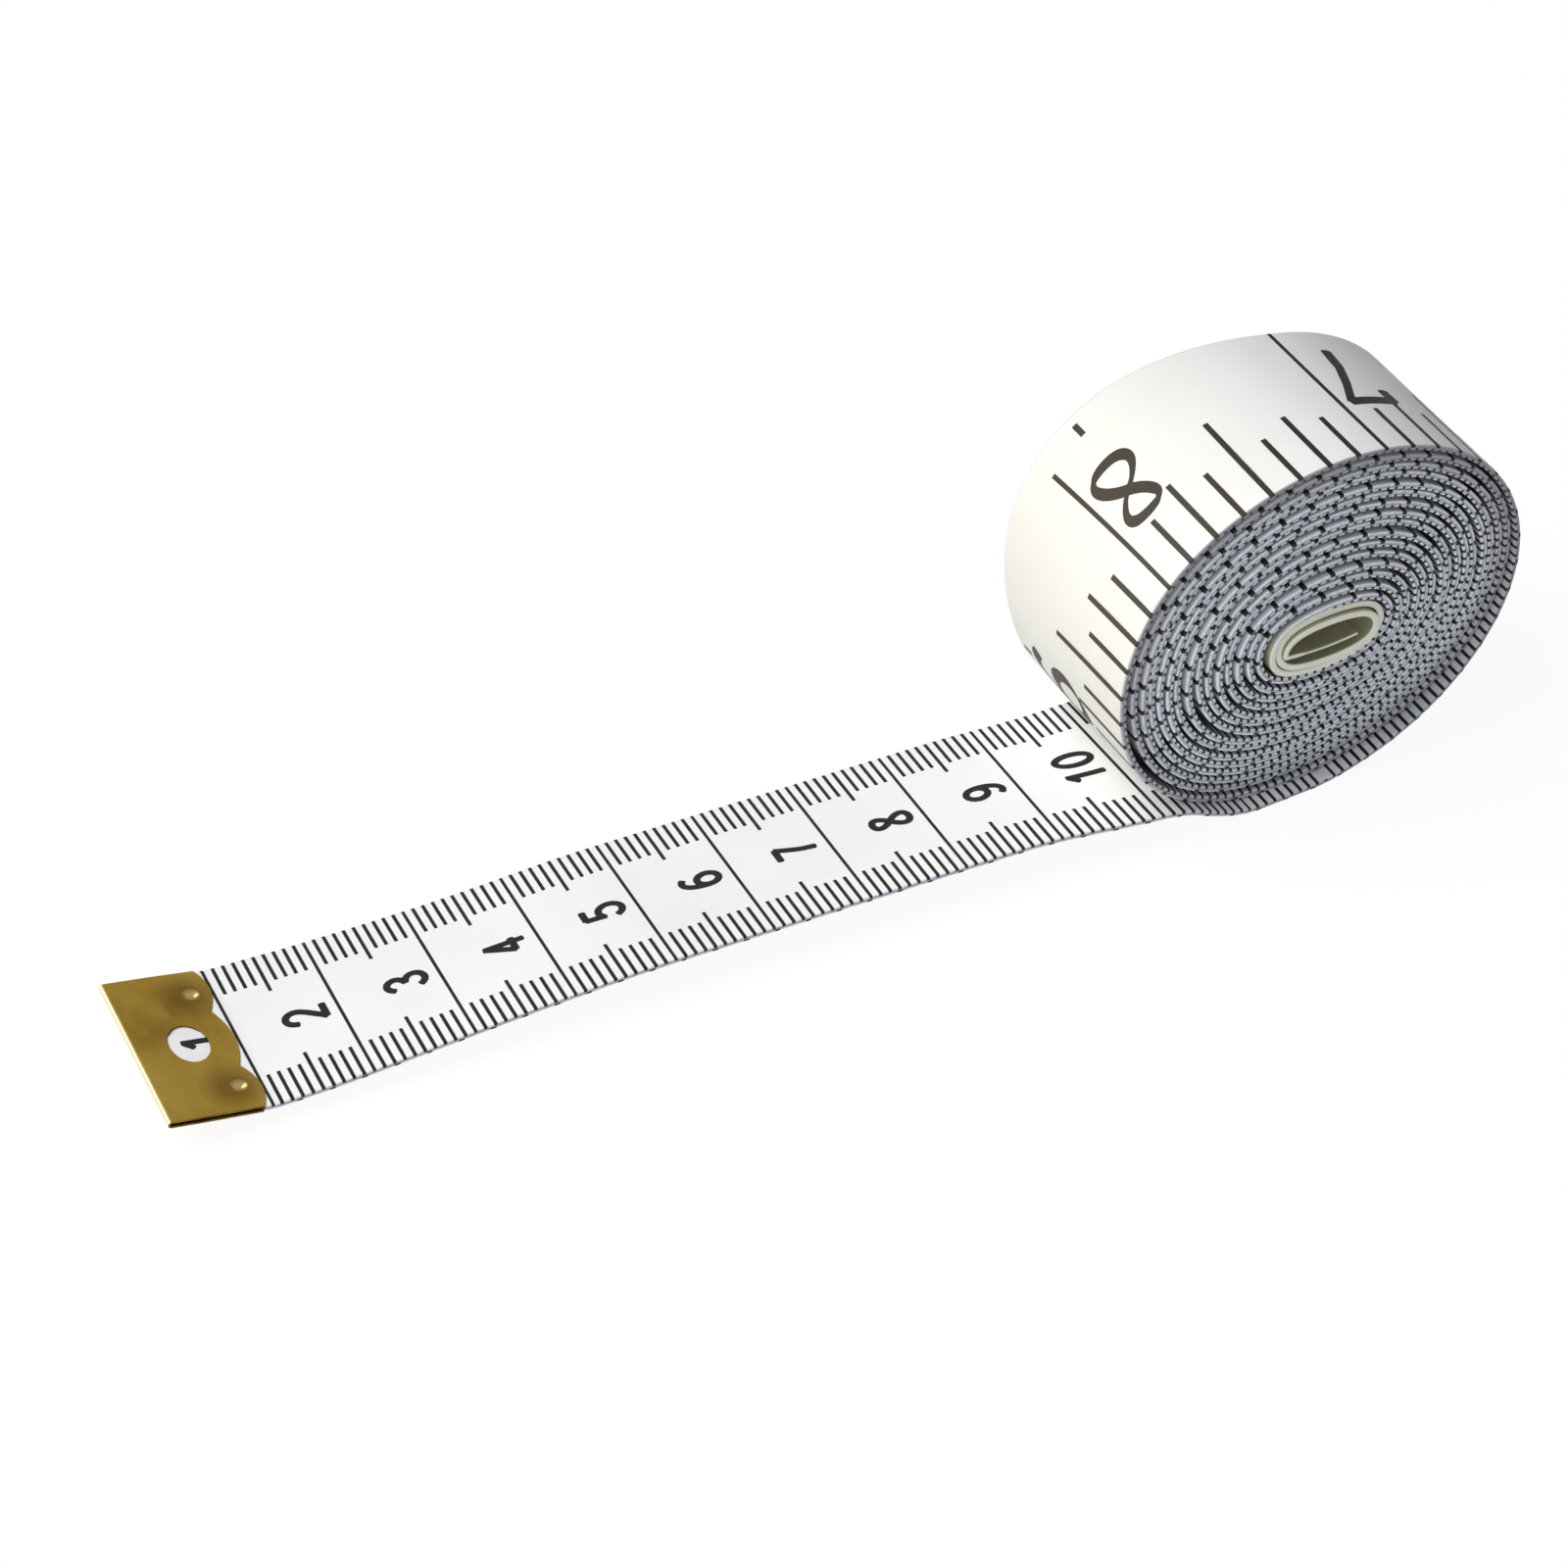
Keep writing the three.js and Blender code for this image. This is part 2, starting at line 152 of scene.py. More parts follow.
def mix(a, b, share):
    return a + (b - a) * share


# Tape path


def slack(angle):
    """How much further in a turn lies: by its loose places, which fade over the turns inside, less the press
    of the last turns."""
    total = 0.0
    for press, start in zip(LAST_TURNS_PRESS, (SWEEP - 2 * math.pi, SWEEP)):
        total = total - press * smooth(angle, start + PRESS_FADE[0], start + PRESS_FADE[1])
    total = total - TOP_PRESS * np.exp(-((angle - SWEEP) / TOP_PRESS_SPAN) ** 2)
    for turn, psi, gap in LOOSE_TURNS:
        for step in range(LOOSE_DEPTH):
            middle = 2 * math.pi * (turn + step) + math.radians(psi) - LEAVE
            total = total + gap * (1 - step / LOOSE_DEPTH) * np.exp(-((angle - middle) / LOOSE_SPAN) ** 2)
    return total


def reach(angle, ease):
    share = angle / SWEEP
    inward = np.minimum(share + ease * share * (1 - share), 1)
    fold = smooth(angle, SWEEP + FOLD_DELAY, SWEEP + math.pi)
    psi = LEAVE + angle
    turned = psi - np.radians(mix(OUTER_TILT, SLOT_TILT, inward))
    long = mix(OUTER_LONG, SLOT_LONG, inward) * (1 + FOLD_REACH * fold) * np.cos(turned)
    short = mix(OUTER_SHORT, SLOT_SHORT, inward) * (1 - fold) * np.sin(turned)
    radius = mix(ROLL_RADIUS, SLOT_RADIUS, inward) * (1 - fold)
    lobes = THREE_LOBE * (1 - inward) * np.cos(3 * psi)
    centre = inward * (SLOT_SHIFT[0] * np.cos(psi) + SLOT_SHIFT[1] * np.sin(psi))
    return radius + np.hypot(long, short) + lobes + centre - slack(angle)


def winding_point(angle, ease):
    angle = np.asarray(angle, float)
    step = 1e-4
    slope = (reach(angle + step, ease) - reach(angle - step, ease)) / (2 * step)
    psi = LEAVE + angle
    r = reach(angle, ease)
    return np.stack([r * np.cos(psi) - slope * np.sin(psi), r * np.sin(psi) + slope * np.cos(psi)], -1)


def run_height(s, arch_height):
    """Height of the run's middle layer: it dips behind the clip, then rises in two waves to the arch."""
    first = FIRST_RISE * smooth(s, *FIRST_RISE_SPAN)
    second = (arch_height - SEAT - FIRST_RISE) * smooth(s, *SECOND_RISE_SPAN)
    tip = np.maximum(CLIP_LENGTH - s, 0) * math.tan(CLIP_TILT)
    return SEAT + first + second + tip + END_LIFT * (1 - smooth(s, *END_LIFT_SPAN))


def tape_path(ease):
    """Lengths, (x, z) points and winding angles along the run, the arch, the peel, the coil and the flap."""
    angle = np.linspace(0, SWEEP + FOLD_TURN, COIL_POINTS)
    coil = winding_point(angle, ease)
    flat = winding_point(np.array(FLAT_ANGLES), ease).mean(0)
    coil += (-flat[0], CAD_THICKNESS / 2 - flat[1])
    coil[:, 1] = np.maximum(coil[:, 1], REST_HEIGHT)
    away = np.array([-math.cos(PEEL_ANGLE), math.sin(PEEL_ANGLE)])
    peel = coil[0] + away * PEEL_LENGTH * np.linspace(1, 0, PEEL_STEPS + 1)[:-1, None]
    slope = np.linspace(0, PEEL_ANGLE, ARCH_STEPS + 1)[:-1]
    turn = np.stack([np.sin(slope), np.cos(slope)], -1)
    arch = peel[0] + ARCH_RADIUS * (turn - (math.sin(PEEL_ANGLE), math.cos(PEEL_ANGLE)))
    run_s = np.linspace(0, RUN_LENGTH, RUN_STEPS + 1)
    run_z = run_height(run_s, arch[0, 1])
    run_dx = np.sqrt(np.diff(run_s) ** 2 - np.diff(run_z) ** 2)
    run_x = arch[0, 0] - np.cumsum(run_dx[::-1])[::-1]
    run = np.stack([run_x, run_z[:-1]], -1)
    tilt = math.radians(SLOT_TILT)
    flap_share = np.linspace(0, 1, FLAP_STEPS + 1)[1:]
    flap = coil[-1] + FLAP_LENGTH * flap_share[:, None] * (math.cos(tilt), math.sin(tilt))
    flap[:, 1] -= FLAP_SAG * np.sin(math.pi * flap_share)
    points = np.concatenate([run, arch, peel, coil, flap])
    steps = np.hypot(*np.diff(points, axis=0).T)
    before = len(run) + len(arch) + len(peel)
    angles = np.concatenate([np.zeros(before), angle, np.full(len(flap), angle[-1])])
    return np.concatenate([[0], np.cumsum(steps)]), points, angles


def ease_for_length():
    """The share of ease in the spacing that makes the tape as long as it is."""
    low, high = -0.5, 0.5
    for _ in range(30):
        middle = (low + high) / 2
        if tape_path(middle)[0][-1] > TAPE_LENGTH:
            low = middle
        else:
            high = middle
    return (low + high) / 2


PATH_S, PATH_POINTS, PATH_ANGLE = tape_path(ease_for_length())
PATH_HEADING = np.gradient(PATH_POINTS, PATH_S, axis=0)
COIL_START = float(np.interp(1e-6, PATH_ANGLE, PATH_S))
FLAP_START = PATH_S[-1] - FLAP_LENGTH


def along_path(s, values):
    return np.interp(s, PATH_S, values)


def place(s, y, n):
    """Tape space to metres in the object's frame."""
    s, y, n = np.broadcast_arrays(np.asarray(s, float), np.asarray(y, float), np.asarray(n, float))
    x, z = along_path(s, PATH_POINTS[:, 0]), along_path(s, PATH_POINTS[:, 1])
    hx, hz = along_path(s, PATH_HEADING[:, 0]), along_path(s, PATH_HEADING[:, 1])
    size = np.hypot(hx, hz)
    hx, hz = hx / size, hz / size
    angle = along_path(s, PATH_ANGLE)
    turns = angle / (2 * math.pi)
    in_turns = smooth(s, SET_BACK_TO, SET_BACK_TO + SWELL_FADE)
    to_flap = s - FLAP_START
    n = n * mix(mix(1, TURN_SWELL, in_turns), FLAP_PRESS, smooth(to_flap, *FLAP_PRESS_FADE))
    wave = np.sin(2 * math.pi * s / UNEVEN_PITCH) * (1 - smooth(to_flap, *UNEVEN_FADE))
    n = n + UNEVEN * wave * in_turns
    lean = LEAN * mix(END_LEAN, 1, smooth(s, *LEAN_GROWS)) * (1 - smooth(s, *LEAN_FADES))
    local = np.mod(angle, 2 * math.pi)
    bump = smooth(local, FLARE_FROM, FLARE_PEAK) * (1 - smooth(local, FLARE_PEAK, FLARE_TO))
    behind = np.clip((y + HALF_WIDTH) / TAPE_WIDTH, 0, 1) ** 2
    flare = FLARE * bump * behind * np.clip(1 - np.floor(turns) / FLARE_TURNS, 0, 1) * (angle > 0)
    lift = n * np.cos(lean) - y * np.sin(lean) - flare
    drift = EDGE_DRIFT * np.sin(2 * math.pi * DRIFT_PER_TURN * turns) * in_turns
    drift -= DOME * np.clip(turns / TURNS, 0, 1) ** DOME_POWER
    set_back = SET_BACK * smooth(s, SET_BACK_FROM, SET_BACK_TO)
    across = y * np.cos(lean) + n * np.sin(lean) + set_back + drift
    px, pz = x - hz * lift, z + hx * lift
    turn = ROLL_TURN * smooth(s, TURN_FROM, TURN_TO)
    out = [px * np.cos(turn) - across * np.sin(turn), px * np.sin(turn) + across * np.cos(turn), pz]
    return np.stack(out, -1) * MM


# Materials

# Stretches along the tape, as pairs of millimetres from the free end and share: painted warm light and
# painted shade on the roll's outer face, painted sheen on the ink, the inner end (painted shade on the vinyl,
# cream cut edges), and darker cut edges on the outer turns
# Painted warm light: a yellow tint on the roll's left side
WARM_LIGHT_STRETCH = [(180, 0), (206, 1), (240, 1), (300, 0.3)]
# Painted shade: a grey stretch on the roll's right side
PAINTED_SHADE_STRETCH = [(128, 0), (142, 0.85), (168, 0.85), (186, 0)]
# Painted sheen: paler ink on the roll's left side
INK_SHEEN_STRETCH = [(180, 0), (198, 1), (224, 1), (240, 0)]
# At the inner end: painted shade on the vinyl, cream cut edges
INNER_END = [(1452, 0), (1458, 1)]
# Darker cut edges, most on the outer turns
EDGE_DARKENING = [(96, 0.1), (118, 0.3), (145, 0.66), (190, 0.66), (215, 0.5), (245, 0.35),
               (280, 0.62), (320, 0.6), (365, 0.25), (410, 0.4), (560, 0.05)]
CM_SHADE_FROM, INCH_SHADE_FROM, SHADE_LENGTH, SHADE = 112, 248, 18, 0.85
THREAD_PITCH, WAVES_PER_BAND = 0.55, 0.314

# Colours
VINYL_DULL, VINYL_CLEAN = (0.86, 0.862, 0.875), (0.9, 0.902, 0.908)
# Painted warm light and painted shade on the roll's outer face
VINYL_WARM_LIGHT, VINYL_PAINTED_SHADE = (0.815, 0.80, 0.728), (0.62, 0.637, 0.667)
# Painted shade inside the turns, and painted shade at the inner end
VINYL_SHADED, VINYL_INNER_SHADE = (0.58, 0.6, 0.67), (0.42, 0.41, 0.28)
FIBRE_DARK, FIBRE_LIGHT = (0.41, 0.435, 0.53), (0.95, 0.97, 1.0)
# Darker cut edges on the outer turns, and cream cut edges at the inner end
FIBRE_DARKENED, FIBRE_INNER = (0.15, 0.142, 0.138), (0.86, 0.85, 0.74)
# The third ink colour is a painted sheen on the roll's left side
INK_DARK, INK_LIGHT, INK_PAINTED_SHEEN = (0.01, 0.01, 0.011), (0.024, 0.023, 0.022), (0.058, 0.047, 0.035)
BRASS_BROWN, BRASS_MIDDLE, BRASS_BRIGHT = (0.34, 0.18, 0.022), (0.6, 0.365, 0.055), (0.72, 0.48, 0.09)
# Grime with painted shade round the dimples, then painted highlights in the dimples and along the fold
BRASS_GRIME_AND_SHADE, DIMPLE_PAINTED_HIGHLIGHT, FOLD_PAINTED_HIGHLIGHT = (0.2, 0.1, 0.014), (0.8, 0.62, 0.26), (0.84, 0.68, 0.33)
BRASS_DIRT, BRASS_CUT = (0.07, 0.04, 0.008), (0.3, 0.19, 0.035)

# Grime with painted shade round the dimples, shifted towards the fold, and painted highlights in them,
# shifted away from it
GRIME_SHADE_SHIFT, GRIME_SHADE_REACH, HIGHLIGHT_SHIFT = -0.5, 4.0, 0.1


def new_material(name):
    material = bpy.data.materials.new(name)
    material.use_nodes = True
    tree = material.node_tree
    return material, tree, tree.nodes["Principled BSDF"]


def add(tree, kind, **values):
    """A node, with values for its sockets and settings by name."""
    node = tree.nodes.new(kind)
    for key, value in values.items():
        if key in node.inputs:
            node.inputs[key].default_value = value
        else:
            setattr(node, key, value)
    return node


def grey(level):
    return (level,) * 3


def ramp(tree, factor, stops):
    node = tree.nodes.new("ShaderNodeValToRGB")
    elements = node.color_ramp.elements
    for element, (position, colour) in zip(elements, stops):
        element.position, element.color = position, (*colour, 1)
    for position, colour in stops[2:]:
        elements.new(position).color = (*colour, 1)
    tree.links.new(factor, node.inputs["Fac"])
    return node.outputs["Color"]


def stretched(tree, scale):
    """Tape coordinates in metres, along and across, scaled."""
    uv = add(tree, "ShaderNodeUVMap", uv_map="tape")
    mapping = add(tree, "ShaderNodeMapping", Scale=scale)
    tree.links.new(uv.outputs["UV"], mapping.inputs["Vector"])
    return mapping.outputs["Vector"]


def noise(tree, vector, scale, detail=3.0, roughness=0.55):
    node = add(tree, "ShaderNodeTexNoise", Scale=scale, Detail=detail, Roughness=roughness)
    tree.links.new(vector, node.inputs["Vector"])
    return node.outputs["Fac"]


def math_node(tree, operation, a, b):
    node = add(tree, "ShaderNodeMath", operation=operation)
    for socket, value in zip(node.inputs, (a, b)):
        if isinstance(value, (int, float)):
            socket.default_value = value
        else:
            tree.links.new(value, socket)
    return node.outputs["Value"]


def bump(tree, shader, height, strength, distance):
    node = add(tree, "ShaderNodeBump", Strength=strength, Distance=distance)
    tree.links.new(height, node.inputs["Height"])
    tree.links.new(node.outputs["Normal"], shader.inputs["Normal"])


def weave(tree, pitch):
    """Warp and weft as two sets of threads, in tape coordinates."""
    threads = []
    for direction in ("X", "Y"):
        wave = add(tree, "ShaderNodeTexWave", Scale=1.0, Distortion=0.4, Detail=1.0)
        wave.bands_direction = direction
        tree.links.new(stretched(tree, grey(WAVES_PER_BAND / (pitch * MM))), wave.inputs["Vector"])
        threads.append(wave.outputs["Fac"])
    return math_node(tree, "MULTIPLY", *threads)


def towards(tree, factor, colour, target):
    node = add(tree, "ShaderNodeMix", data_type="RGBA")
    node.inputs["B"].default_value = (*target, 1)
    tree.links.new(factor, node.inputs["Factor"])
    tree.links.new(colour, node.inputs["A"])
    return node.outputs["Result"]


def stretch_of_tape(tree, stops):
    """A factor along the tape, from pairs of (millimetres from the free end, factor)."""
    parts = add(tree, "ShaderNodeSeparateXYZ")
    tree.links.new(stretched(tree, (1 / (TAPE_LENGTH * MM), 1, 1)), parts.inputs["Vector"])
    return ramp(tree, parts.outputs["X"], [(s / TAPE_LENGTH, grey(level)) for s, level in stops])


def vinyl_material(name, shade_from):
    """White vinyl, with painted warm light and painted shade round the roll, painted shade from shade_from
    on, inside the turns, and painted shade at the inner end.
    """
    material, tree, shader = new_material(name)
    blotches = noise(tree, stretched(tree, (1, 1, 1)), 90.0, 4.0)
    white = ramp(tree, blotches, [(0.3, VINYL_DULL), (0.7, VINYL_CLEAN)])
    # Painted warm light, then painted shade, on the roll's outer face
    colour = towards(tree, stretch_of_tape(tree, WARM_LIGHT_STRETCH), white, VINYL_WARM_LIGHT)
    colour = towards(tree, stretch_of_tape(tree, PAINTED_SHADE_STRETCH), colour, VINYL_PAINTED_SHADE)
    shaded = stretch_of_tape(tree, [(shade_from, 0), (shade_from + SHADE_LENGTH, SHADE)])
    colour = towards(tree, shaded, colour, VINYL_SHADED)
    # Painted shade at the inner end
    colour = towards(tree, stretch_of_tape(tree, INNER_END), colour, VINYL_INNER_SHADE)
    tree.links.new(colour, shader.inputs["Base Color"])
    rough = ramp(tree, blotches, [(0.25, grey(0.42)), (0.75, grey(0.58))])
    tree.links.new(rough, shader.inputs["Roughness"])
    shader.inputs["Specular IOR Level"].default_value = 0.35
    bump(tree, shader, weave(tree, THREAD_PITCH), 0.12, 0.03 * MM)
    return material


def cut_edge_material():
    """Fibres between two coats, darker on the edges of the outer turns and cream at the inner end."""
    material, tree, shader = new_material("tape_cut_edge")
    parts = add(tree, "ShaderNodeSeparateXYZ")
    tree.links.new(stretched(tree, (1, 1, 1)), parts.inputs["Vector"])
    width = math_node(tree, "ABSOLUTE", parts.outputs["Y"], 0)
    depth = math_node(tree, "ABSOLUTE", math_node(tree, "SUBTRACT", width, HALF_WIDTH * MM), 0)
    layer = math_node(tree, "MULTIPLY", depth, 1 / (HALF_THICKNESS * MM))
    fibres = noise(tree, stretched(tree, (2, 5, 1)), 1000.0, 3.0, 0.7)
    uneven = math_node(tree, "MULTIPLY", math_node(tree, "SUBTRACT", fibres, 0.5), 1.6)
    frayed = math_node(tree, "ADD", layer, uneven)
    layers = ramp(tree, frayed, [(0.1, FIBRE_DARK), (0.75, FIBRE_LIGHT)])
    colour = towards(tree, stretch_of_tape(tree, EDGE_DARKENING), layers, FIBRE_DARKENED)
    colour = towards(tree, stretch_of_tape(tree, INNER_END), colour, FIBRE_INNER)
    tree.links.new(colour, shader.inputs["Base Color"])
    shader.inputs["Roughness"].default_value = 0.75
    bump(tree, shader, fibres, 0.5, 0.06 * MM)
    return material


def ink_material():
    material, tree, shader = new_material("printed_ink")
    specks = noise(tree, stretched(tree, (1, 1, 1)), 1500.0, 3.0)
    colour = ramp(tree, specks, [(0.3, INK_DARK), (0.75, INK_LIGHT)])
    # Painted sheen: paler ink on the roll's left side
    colour = towards(tree, stretch_of_tape(tree, INK_SHEEN_STRETCH), colour, INK_PAINTED_SHEEN)
    tree.links.new(colour, shader.inputs["Base Color"])
    rough = ramp(tree, specks, [(0.3, grey(0.45)), (0.7, grey(0.62))])
    tree.links.new(rough, shader.inputs["Roughness"])
    shader.inputs["Specular IOR Level"].default_value = 0.25
    return material


def blank_place(s):
    """Place on the flat blank, from the fold's middle line, of a point at distance s from the fold's nose."""
    return s - CLIP_SHEET / 2 - CLIP_MIDDLE + FOLD_LENGTH / 2


def from_fold(tree):
    """Distances from the fold's middle line and from the clip's middle, in the flat blank."""
    parts = add(tree, "ShaderNodeSeparateXYZ")
    tree.links.new(stretched(tree, (1, 1, 1)), parts.inputs["Vector"])
    return [math_node(tree, "ABSOLUTE", parts.outputs[axis], 0) for axis in ("X", "Y")]


def from_dimple(tree, shift):
    """Distance from the nearest dimple, in the flat blank; shift moves the middle away from the fold."""
    squares = []
    middles = (blank_place(DIMPLE_PLACE) + shift, DIMPLE_SPREAD)
    for distance, middle in zip(from_fold(tree), middles):
        squares.append(math_node(tree, "POWER", math_node(tree, "SUBTRACT", distance, middle * MM), 2.0))
    return math_node(tree, "SQRT", math_node(tree, "ADD", *squares), 0)


# Grime round each dimple with painted shade, shifted towards the fold
def dimple_grime(tree):
    share = math_node(tree, "MULTIPLY", from_dimple(tree, GRIME_SHADE_SHIFT), 1 / (GRIME_SHADE_REACH * MM))
    return ramp(tree, share, [(0.0, grey(0.7)), (0.3, grey(0.65)), (0.85, grey(0))])


# Painted highlight: a paler colour in each dimple, shifted away from the fold
def rubbed_dimple(tree):
    share = math_node(tree, "MULTIPLY", from_dimple(tree, HIGHLIGHT_SHIFT), 1 / (DIMPLE_RADIUS * MM))
    return ramp(tree, share, [(0.5, grey(0.85)), (0.95, grey(0))])


# Painted highlight: a paler colour along the fold
def rubbed_fold(tree):
    share = math_node(tree, "MULTIPLY", from_fold(tree)[0], 1 / (FOLD_LENGTH * MM))
    return ramp(tree, share, [(0.3, grey(1)), (0.55, grey(0))])


def brass_material():
    material, tree, shader = new_material("tarnished_brass")
    tarnish = noise(tree, stretched(tree, (1, 0.6, 1)), 130.0, 4.0)
    colour = ramp(tree, tarnish, [(0.3, BRASS_BROWN), (0.5, BRASS_MIDDLE), (0.72, BRASS_BRIGHT)])
    # Grime with painted shade round the dimples, then painted highlights in the dimples and along the fold
    colour = towards(tree, dimple_grime(tree), colour, BRASS_GRIME_AND_SHADE)
    colour = towards(tree, rubbed_dimple(tree), colour, DIMPLE_PAINTED_HIGHLIGHT)
    colour = towards(tree, rubbed_fold(tree), colour, FOLD_PAINTED_HIGHLIGHT)
    tree.links.new(colour, shader.inputs["Base Color"])
    shader.inputs["Metallic"].default_value = 1.0
    lines = noise(tree, stretched(tree, (6, 140, 1)), 60.0, 3.0)
    rough = ramp(tree, lines, [(0.3, grey(0.28)), (0.7, grey(0.42))])
    tree.links.new(rough, shader.inputs["Roughness"])
    bump(tree, shader, lines, 0.1, 0.02 * MM)
    return material


def brass_edge_material():
    material, tree, shader = new_material("soiled_brass_edge")
    dirt = noise(tree, stretched(tree, (1, 1, 1)), 400.0, 4.0)
    colour = ramp(tree, dirt, [(0.35, BRASS_DIRT), (0.7, BRASS_CUT)])
    tree.links.new(colour, shader.inputs["Base Color"])
    shader.inputs["Metallic"].default_value = 1.0
    rough = ramp(tree, dirt, [(0.3, grey(0.45)), (0.7, grey(0.6))])
    tree.links.new(rough, shader.inputs["Roughness"])
    bump(tree, shader, dirt, 0.2, 0.02 * MM)
    return material


CM_VINYL = vinyl_material("tape_vinyl_cm", CM_SHADE_FROM)
INCH_VINYL = vinyl_material("tape_vinyl_inch", INCH_SHADE_FROM)
CUT_EDGE, INK = cut_edge_material(), ink_material()
BRASS, BRASS_EDGE = brass_material(), brass_edge_material()


# Meshes


def make_piece(name, points, faces, materials, uv, face_materials=None, sharp=50):
    """A smooth-shaded object with tape coordinates; edges sharper than the given angle stay sharp."""
    mesh = bpy.data.meshes.new(name)
    mesh.from_pydata(np.asarray(points).tolist(), [], faces)
    for material in materials:
        mesh.materials.append(material)
    if face_materials is not None:
        mesh.polygons.foreach_set("material_index", np.asarray(face_materials, np.int32))
    layer = mesh.uv_layers.new(name="tape")
    loops = np.empty(len(mesh.loops), np.int32)
    mesh.loops.foreach_get("vertex_index", loops)
    layer.data.foreach_set("uv", (np.asarray(uv)[loops] * MM).astype(np.float32).ravel())
    mesh.polygons.foreach_set("use_smooth", np.ones(len(mesh.polygons), bool))
    mesh.set_sharp_from_angle(angle=math.radians(sharp))
    mesh.update()
    piece = bpy.data.objects.new(name, mesh)
    bpy.context.scene.collection.objects.link(piece)
    return piece


# Places across a face: even steps, both sides of the window's squeeze, and two by each rounded edge
EVEN_STATIONS = np.arange(FACE_PITCH - HALF_WIDTH, HALF_WIDTH - FACE_PITCH / 2, FACE_PITCH)
EXTRA_STATIONS = np.array([WINDOW_EASE_Y[1], HALF_WIDTH - 3 * EDGE_ROUND, HALF_WIDTH - EDGE_ROUND])
FACE_STATIONS = np.sort(np.concatenate([EVEN_STATIONS, EXTRA_STATIONS, -EXTRA_STATIONS]))


def tape_profile():
    """Points round the section from the centimetre face on, and the material slot after each point."""
    r, corner = EDGE_ROUND, EDGE_CORNER * EDGE_ROUND
    shoulder = [(HALF_WIDTH - corner, HALF_THICKNESS - corner), (HALF_WIDTH, HALF_THICKNESS - r)]
    edge = shoulder + [(y, -n) for y, n in reversed(shoulder)]
    top = [(y, HALF_THICKNESS) for y in FACE_STATIONS]
    half = top + edge
    profile = half + [(-y, -n) for y, n in half]
    edge_slots = [1] * (len(edge) + 1)
    slots = [0] * (len(top) - 1) + edge_slots + [2] * (len(top) - 1) + edge_slots
    return np.array(profile), slots


def under_clip(s, y, n):
    """The tape is narrower and squeezed thin between a clip's leaves, except on top in the window."""
    past_rear = s - CLIP_REAR
    narrow = CLIP_NARROWS * (1 - smooth(past_rear, *NARROW_FADE))
    in_window = 1 - smooth(np.abs(s - WINDOW_PLACE), *WINDOW_EASE_S)
    in_window = in_window * (1 - smooth(np.abs(y), *WINDOW_EASE_Y)) * (n > 0)
    free = (1 - smooth(past_rear, *SQUEEZE_FADE)) * (1 - in_window)
    squeezed = free + smooth(s - PATH_S[-1] + INNER_CLIP_LENGTH, *INNER_SQUEEZE_FADE)
    return y * (1 - narrow), n * (1 - CLIP_SQUEEZE * squeezed)


def tape_piece(name, places):
    """One stretch of tape as a closed strip with a section at each place along it."""
    profile, slots = tape_profile()
    count, size = len(places), len(profile)
    s = np.repeat(places, size)
    y, n = np.tile(profile[:, 0], count), np.tile(profile[:, 1], count)
    y, n = under_clip(s, y, n)
    faces, materials = [], []
    for i in range(count - 1):
        for k in range(size):
            a, b = i * size + k, i * size + (k + 1) % size
            faces.append((a, a + size, b + size, b))
            materials.append(slots[k])
    last = (count - 1) * size
    faces.append(tuple(range(size)))
    faces.append(tuple(range(last + size - 1, last - 1, -1)))
    materials += [1, 1]
    coats, uv = [CM_VINYL, CUT_EDGE, INCH_VINYL], np.stack([s, y + n], -1)
    return make_piece(name, place(s, y, n), faces, coats, uv, materials)


# Print


class Print:
    """Gathers the ink of one piece of tape as closed slabs."""

    def __init__(self):
        self.points, self.uv, self.faces, self.count = [], [], [], 0

    def slab(self, s, y, n, faces):
        self.points.append(place(s, y, n))
        self.uv.append(np.stack([np.broadcast_to(s, np.shape(y)), y], -1))
        self.faces += [tuple(self.count + i for i in face) for face in faces]
        self.count += len(y)

    def bar(self, s, width, stations):
        """A line across the tape through stations of (y, n, outward y, outward n)."""
        if (stations[-1][0] - stations[0][0]) * stations[-1][1] < 0:
            stations = stations[::-1]
        y, n, out_y, out_n = np.array(stations).T
        rows = [(-1, -INK_SINK), (1, -INK_SINK), (1, INK_RAISE), (-1, INK_RAISE)]
        all_s = np.concatenate([np.full(len(y), s + side * width / 2) for side, _ in rows])
        all_y = np.concatenate([y + depth * out_y for _, depth in rows])
        all_n = np.concatenate([n + depth * out_n for _, depth in rows])
        size = len(y)
        faces = []
        for k in range(4):
            a, b = k * size, ((k + 1) % 4) * size
            faces += [(a + i, a + i + 1, b + i + 1, b + i) for i in range(size - 1)]
        faces.append(tuple(k * size for k in range(4)))
        faces.append(tuple(k * size + size - 1 for k in reversed(range(4))))
        self.slab(all_s, all_y, all_n, faces)

    def glyph(self, s, y, side, triangles, rim):
        """A flat figure, given where its corners lie along and across the tape."""
        size = len(s)
        low, high = side * (HALF_THICKNESS - INK_SINK), side * (HALF_THICKNESS + INK_RAISE)
        n = np.concatenate([np.full(size, high), np.full(size, low)])
        faces = [tuple(t) for t in triangles]
        faces += [tuple(size + i for i in reversed(t)) for t in triangles]
        faces += [(a, a + size, b + size, b) for a, b in rim]
        self.slab(np.concatenate([s, s]), np.concatenate([y, y]), n, faces)

    def piece(self, name):
        uv = np.concatenate(self.uv)
        return make_piece(name, np.concatenate(self.points), self.faces, [INK], uv, sharp=40)


